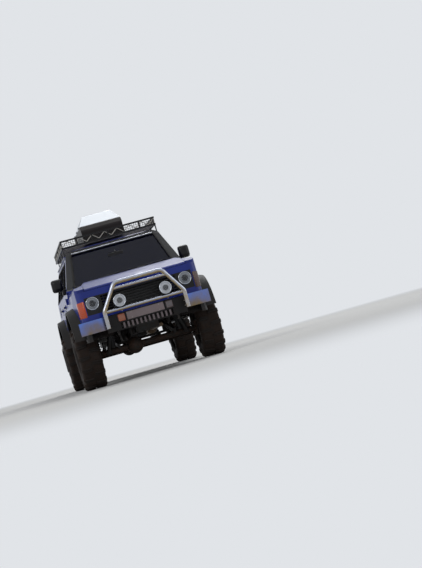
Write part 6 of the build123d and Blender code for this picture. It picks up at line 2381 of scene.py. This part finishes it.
@dataclass(frozen=True)
class Seats:
    """Two front seats and a bench: pads, headrest posts, seat boxes, runners and recliners, in metres."""

    front_x: float = 0.400
    bench_x: float = 0.290
    runner_x: float = 0.150

    def front_pads(self, side: str, x: float) -> list[Pad]:
        """Cushion, back and headrest of a front seat.

        Args:
            side: Name of its side.
            x: Its place across the vehicle, in metres.

        Returns:
            The pads.
        """
        return [
            Pad(f"seat_cushion_{side}", (x, -0.195, 1.010), (0.470, 0.500, 0.125), math.radians(4.5), 0.012,
                (-0.42, 0.42)),
            Pad(f"seat_back_{side}", (x, 0.096, 1.300), (0.465, 0.500, 0.105), math.radians(77.5), 0.010,
                (-0.45, 0.45)),
            Pad(f"headrest_{side}", (x, 0.180, 1.640), (0.270, 0.130, 0.075), math.radians(78.0), 0.008,
                voxel=0.012, swell=0.006),
        ]

    def bench_pads(self, side: str, x: float) -> list[Pad]:
        """Cushion and back of half the bench.

        Args:
            side: Name of its side.
            x: Its place across the vehicle, in metres.

        Returns:
            The pads.
        """
        return [
            Pad(f"bench_cushion_{side}", (x, 0.575, 1.010), (0.568, 0.490, 0.125), math.radians(4.5), 0.012,
                (-0.33, 0.33)),
            Pad(f"bench_back_{side}", (x, 0.872, 1.285), (0.568, 0.590, 0.100), math.radians(74.0), 0.010,
                (-0.33, 0.33)),
        ]

    def front_frame(self, x: float) -> list[Shape]:
        """Headrest posts, seat box, runners and recliner of a front seat.

        Args:
            x: Its place across the vehicle, in metres.

        Returns:
            Its parts.
        """
        posts = np.array([(x - 0.06, 0.148, 1.520), (x - 0.06, 0.170, 1.600)])
        wide = (0.12, 0, 0)
        disc = [(-0.012, 1e-5), (-0.012, 0.045), (0.008, 0.045), (0.012, 0.036), (0.012, 1e-5)]
        return [
            rods([posts[0], posts[0] + wide], [posts[1], posts[1] + wide], 0.006, 10),
            rounded_block((x - 0.160, -0.375, 0.785), (x + 0.160, 0.015, 0.950), 0.018, (2, 2, 2)),
            *(rounded_block((x + rail - 0.016, -0.380, 0.7605), (x + rail + 0.016, 0.020, 0.788), 0.004)
              for rail in (-self.runner_x, self.runner_x)),
            lathe(disc, (x + 0.228, 0.050, 0.985), "x", 28, closed=False),
        ]

    def build(self, finishes: Finishes) -> None:
        """Front seats, bench and their frames, which stand for the solid.

        Args:
            finishes: The finished materials, by name.
        """
        parts = []
        for side, sign in SIDES:
            x = sign * self.front_x
            for pad in self.front_pads(side, x):
                pad.build(finishes)
            parts += self.front_frame(x)
        for side, sign in reversed(SIDES):
            for pad in self.bench_pads(side, sign * self.bench_x):
                pad.build(finishes)
        parts.append(rounded_block((-0.500, 0.390, 0.7605), (0.500, 0.790, 0.950), 0.018, (4, 2, 2)))
        trim = finishes["cabin_trim_plastic"]
        add_piece("seat_frames", joined(parts), "body", trim, ("seats",))


@dataclass(frozen=True)
class CabinTrim:
    """Door cards, dash details, cabin mirror, sun visors and load mat, in metres."""

    doors: tuple[tuple[str, float, float], ...] = (
        ("front_side_door", -0.835, -0.035), ("rear_side_door", 0.180, 0.850))
    card_depth: float = 0.0565
    vents: tuple[float, ...] = (-0.640, -0.110, 0.110, 0.640)
    dials: tuple[float, ...] = (0.325, 0.435)
    visors: tuple[float, ...] = (-0.37, 0.37)

    def door_card(self, y0: float, y1: float) -> Shape:
        """Card that follows the skin at an even depth, with its armrest and pull.

        Args:
            y0: Its front end, in metres.
            y1: Its rear end, in metres.

        Returns:
            The finished shape.
        """
        card = rounded_block((-0.006, y0, 0.800), (0.008, y1, 1.405), 0.0065, (1, 8, 10))
        shift = np.zeros_like(card.points)
        shift[:, 0] = skin_x(card.points[:, 2]) - self.card_depth
        rest = rounded_block((0.765, y0 + 0.16, 1.105), (0.832, y1 - 0.12, 1.150), 0.018, (2, 6, 2))
        pull = rounded_block((0.775, y0 + 0.12, 1.245), (0.818, y0 + 0.22, 1.275), 0.010, (1, 4, 1))
        return joined([Shape(card.points + shift, card.faces), rest, pull])

    def vent(self, x: float) -> list[Shape]:
        """Vent's frame with five level slats.

        Args:
            x: Its place across the vehicle, in metres.

        Returns:
            Its parts.
        """
        frame_block = rounded_block((x - 0.055, -0.7735, 1.262), (x + 0.055, -0.750, 1.312), 0.008, (4, 1, 2))
        low = np.stack([np.full(5, x - 0.048), np.full(5, -0.7505), np.linspace(1.270, 1.304, 5)], axis=-1)
        return [frame_block, rods(low, low + (0.096, 0, 0), 0.0022, 6)]

    def dash(self) -> Shape:
        """Instrument hood, glovebox lid and vents.

        Returns:
            The finished shape.
        """
        hood = rounded_block((0.215, -0.955, 1.345), (0.545, -0.790, 1.432), 0.030, (6, 4, 3))
        glove = rounded_block((-0.560, -0.776, 1.105), (-0.190, -0.762, 1.205), 0.008, (6, 1, 3))
        return joined([hood, glove] + [part for x in self.vents for part in self.vent(x)])

    def dial(self, x: float) -> Shape:
        """Round instrument with a raised rim."""
        rim = [(-0.0045, 1e-5), (-0.0045, 0.040), (0.003, 0.043), (0.004, 0.037), (0.001, 0.035), (0.001, 1e-5)]
        return lathe(rim, (x, -0.789, 1.389), "y", 40, closed=False)

    def mirror(self) -> Shape:
        """Cabin mirror on its bent stem.

        Returns:
            The finished shape.
        """
        glass = rounded_block((-0.115, -0.705, 1.765), (0.115, -0.682, 1.822), 0.011, (6, 1, 3))
        stem = np.array([(0, -0.700, 1.795), (0, -0.705, 1.830), (0, -0.668, 1.852)])
        return joined([glass, tube(stem, 0.006, (1, 0, 0), 10)])

    def visor(self, x: float) -> Shape:
        """Sun visor folded up under the roof."""
        return rounded_block((x - 0.19, -0.560, 1.868), (x + 0.19, -0.420, 1.888), 0.009, (6, 3, 1))

    def build(self, finishes: Finishes) -> None:
        """Cards on their doors, and the rest on the body.

        Args:
            finishes: The finished materials, by name.
        """
        trim, black = finishes["cabin_trim_plastic"], finishes["satin_black_plastic"]
        for side, sign in SIDES:
            for body, y0, y1 in self.doors:
                rides = f"{body}_{side}"
                add_piece(f"door_card_{rides}", self.door_card(y0, y1).on(sign), rides, trim)
        mat = rounded_block((-0.590, 1.150, 0.8845), (0.590, 2.120, 0.8935), 0.004, (10, 8, 1))
        rows = (
            ("dash_binnacle_vents", self.dash(), trim),
            ("dash_dials", joined([self.dial(x) for x in self.dials]), black),
            ("cabin_mirror", self.mirror(), black),
            ("sun_visors", joined([self.visor(x) for x in self.visors]), trim),
            ("load_mat", mat, finishes["floor_carpet_tufted"]),
        )
        for name, shape, finish in rows:
            add_piece(name, shape, "body", finish)


@dataclass(frozen=True)
class MudFlaps:
    """Rubber mud flaps behind the rear wheels, each with its hanger, clamp strip and bolts, in metres."""

    inner: float = 0.722
    outer: float = 1.010
    low: float = 0.330
    high: float = 0.716
    sag: float = 0.018
    bolts: tuple[float, ...] = (0.75, 0.866, 0.98)

    def flap(self) -> Shape:
        """Sheet that sags back towards its free end: sag x (distance below its top / height) squared.

        Returns:
            The finished shape.
        """
        sheet = rounded_block((self.inner, 1.905, self.low), (self.outer, 1.911, self.high), 0.0028, (8, 1, 10))
        shift = np.zeros_like(sheet.points)
        shift[:, 1] = self.sag * ((self.high - sheet.points[:, 2]) / (self.high - self.low)) ** 2
        return Shape(sheet.points + shift, sheet.faces)

    def fixings(self) -> Shape:
        """Clamp strip, its bolts and the hanger from the body.

        Returns:
            The finished shape.
        """
        strip = rounded_block((self.inner, 1.901, 0.690), (self.outer, 1.9055, 0.712), 0.002)
        heads = np.array([(x, 1.902, 0.701) for x in self.bolts])
        hanger = rounded_block((self.inner, 1.900, 0.690), (0.850, 1.9055, 0.760), 0.002)
        return joined([strip, rods(heads, heads - (0, 0.006, 0), 0.006, 6), hanger])

    def build(self, finishes: Finishes) -> None:
        """Flap and fixings on each side.

        Args:
            finishes: The finished materials, by name.
        """
        for side, sign in SIDES:
            add_piece(f"mud_flap_{side}", self.flap().on(sign), "body", finishes["seal_rubber_extruded"])
            add_piece(f"mud_flap_strip_{side}", self.fixings().on(sign), "body", finishes["zinc_plated_wire"])


# Stage
@dataclass(frozen=True)
class Studio:
    """Pale floor and background, soft lamps, and the camera at the photograph's angle."""

    backdrop: str = "#e1e4e8"
    ambient: float = 0.42
    yaw: float = 9.22
    pitch: float = 1.98
    roll: float = 16.02
    lens: float = 88.225
    eye: Point = (-2.04, -20.81, 0.29)

    def floor(self) -> None:
        """Level floor: pale and matt, turning into the backdrop's own colour far from the vehicle."""
        tree = Tree("floor_matt_pale")
        away = tree.add("VectorMath", {0: tree.place}, operation="LENGTH").outputs["Value"]
        reach = {0: away, 1: 5.0, 2: 13.0, 3: 0.0, 4: 1.0}
        far = tree.add("MapRange", reach, interpolation_type="SMOOTHSTEP").outputs[0]
        path = tree.add("LightPath").outputs
        seen = tree.math("ADD", path["Is Camera Ray"], path["Is Glossy Ray"], clamp=True)
        mask = tree.math("MULTIPLY", far, seen)
        matt = tree.add("BsdfPrincipled", {"Base Color": linear("#dcdcda"), "Roughness": 0.9})
        glow = tree.add("Emission", {"Color": linear(self.backdrop), "Strength": 1.0})
        mixed = tree.add("MixShader", {0: mask, 1: matt.outputs[0], 2: glow.outputs[0]})
        mesh = bpy.data.meshes.new("studio_floor")
        mesh.from_pydata([(-60, -60, 0), (60, -60, 0), (60, 60, 0), (-60, 60, 0)], [], [(0, 1, 2, 3)])
        mesh.materials.append(tree.ready(mixed))
        plane = bpy.data.objects.new("studio_floor", mesh)
        bpy.context.scene.collection.objects.link(plane)

    def world(self) -> None:
        """Even soft light, and the backdrop's colour wherever camera, gloss or glass looks past the vehicle."""
        world = bpy.data.worlds.new("studio")
        bpy.context.scene.world = world
        world.use_nodes = True
        nodes, links = world.node_tree.nodes, world.node_tree.links
        nodes.clear()
        path = nodes.new("ShaderNodeLightPath").outputs
        seen = nodes.new("ShaderNodeMath")
        both = nodes.new("ShaderNodeMath")
        for node, first, second in ((seen, path["Is Camera Ray"], path["Is Glossy Ray"]),
                                    (both, seen.outputs[0], path["Is Transmission Ray"])):
            node.operation, node.use_clamp = "ADD", True
            links.new(first, node.inputs[0])
            links.new(second, node.inputs[1])
        soft, shown = nodes.new("ShaderNodeBackground"), nodes.new("ShaderNodeBackground")
        soft.inputs[0].default_value, soft.inputs[1].default_value = linear("#f3f5f8"), self.ambient
        shown.inputs[0].default_value, shown.inputs[1].default_value = linear(self.backdrop), 1.0
        mixed, output = nodes.new("ShaderNodeMixShader"), nodes.new("ShaderNodeOutputWorld")
        links.new(both.outputs[0], mixed.inputs[0])
        links.new(soft.outputs[0], mixed.inputs[1])
        links.new(shown.outputs[0], mixed.inputs[2])
        links.new(mixed.outputs[0], output.inputs[0])

    def lamps(self) -> None:
        """Three large soft lamps: overhead from behind, key from the right front and fill from the left."""
        rows = (
            # name, place, power, size
            ("overhead", (2.5, 4.5, 8.0), 330.0, 5.0),
            ("key", (-6.5, -7.0, 6.0), 200.0, 4.0),
            ("fill", (7.5, -5.0, 4.0), 90.0, 4.5),
        )
        for name, place, power, size in rows:
            light = bpy.data.lights.new(name, "AREA")
            light.energy, light.size = power, size
            lamp = bpy.data.objects.new(name, light)
            lamp.location = place
            lamp.rotation_euler = (Vector((0.0, 0.0, 0.9)) - Vector(place)).to_track_quat("-Z", "Y").to_euler()
            bpy.context.scene.collection.objects.link(lamp)

    def camera(self) -> None:
        """Camera by yaw, pitch and roll: right = cos(roll) r - sin(roll) u, up = sin(roll) r + cos(roll) u."""
        yaw, pitch, roll = (math.radians(a) for a in (self.yaw, self.pitch, self.roll))
        ahead = Vector((math.sin(yaw) * math.cos(pitch), math.cos(yaw) * math.cos(pitch), math.sin(pitch)))
        level = ahead.cross(Vector((0, 0, 1))).normalized()
        upright = level.cross(ahead)
        right = level * math.cos(roll) - upright * math.sin(roll)
        up = level * math.sin(roll) + upright * math.cos(roll)
        data = bpy.data.cameras.new("camera")
        data.lens, data.sensor_width, data.clip_end = self.lens, 36.0, 200.0
        camera = bpy.data.objects.new("camera", data)
        turn = Matrix((right, up, -ahead)).transposed().to_4x4()
        camera.matrix_world = Matrix.Translation(self.eye) @ turn
        bpy.context.scene.collection.objects.link(camera)
        bpy.context.scene.camera = camera

    def build(self) -> None:
        """Sets the whole stage."""
        self.floor()
        self.world()
        self.lamps()
        self.camera()
        bpy.context.scene.view_settings.view_transform = "Standard"


def main() -> None:
    """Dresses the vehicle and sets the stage."""
    logging.basicConfig(level=logging.INFO, format="%(name)s: %(message)s")
    finishes = Finishes()
    dress_nodes(finishes)
    Studio().build()
    parts = (
        Wheels(), HEADLAMPS, SPOT_LAMPS, BumperLamps(), CornerLens(), DoorMirror(), TailLampFrames(),
        EngineTop(), GlassEdges(), Wipers(), DoorTrim(), BumperTrim(), RackWire(), RoofBoxFittings(), Seats(),
        CabinTrim(), MudFlaps(),
    )
    for part in parts:
        part.build(finishes)
        LOG.info("%s done", type(part).__name__)
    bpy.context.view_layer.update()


if __name__ == "__main__":
    main()
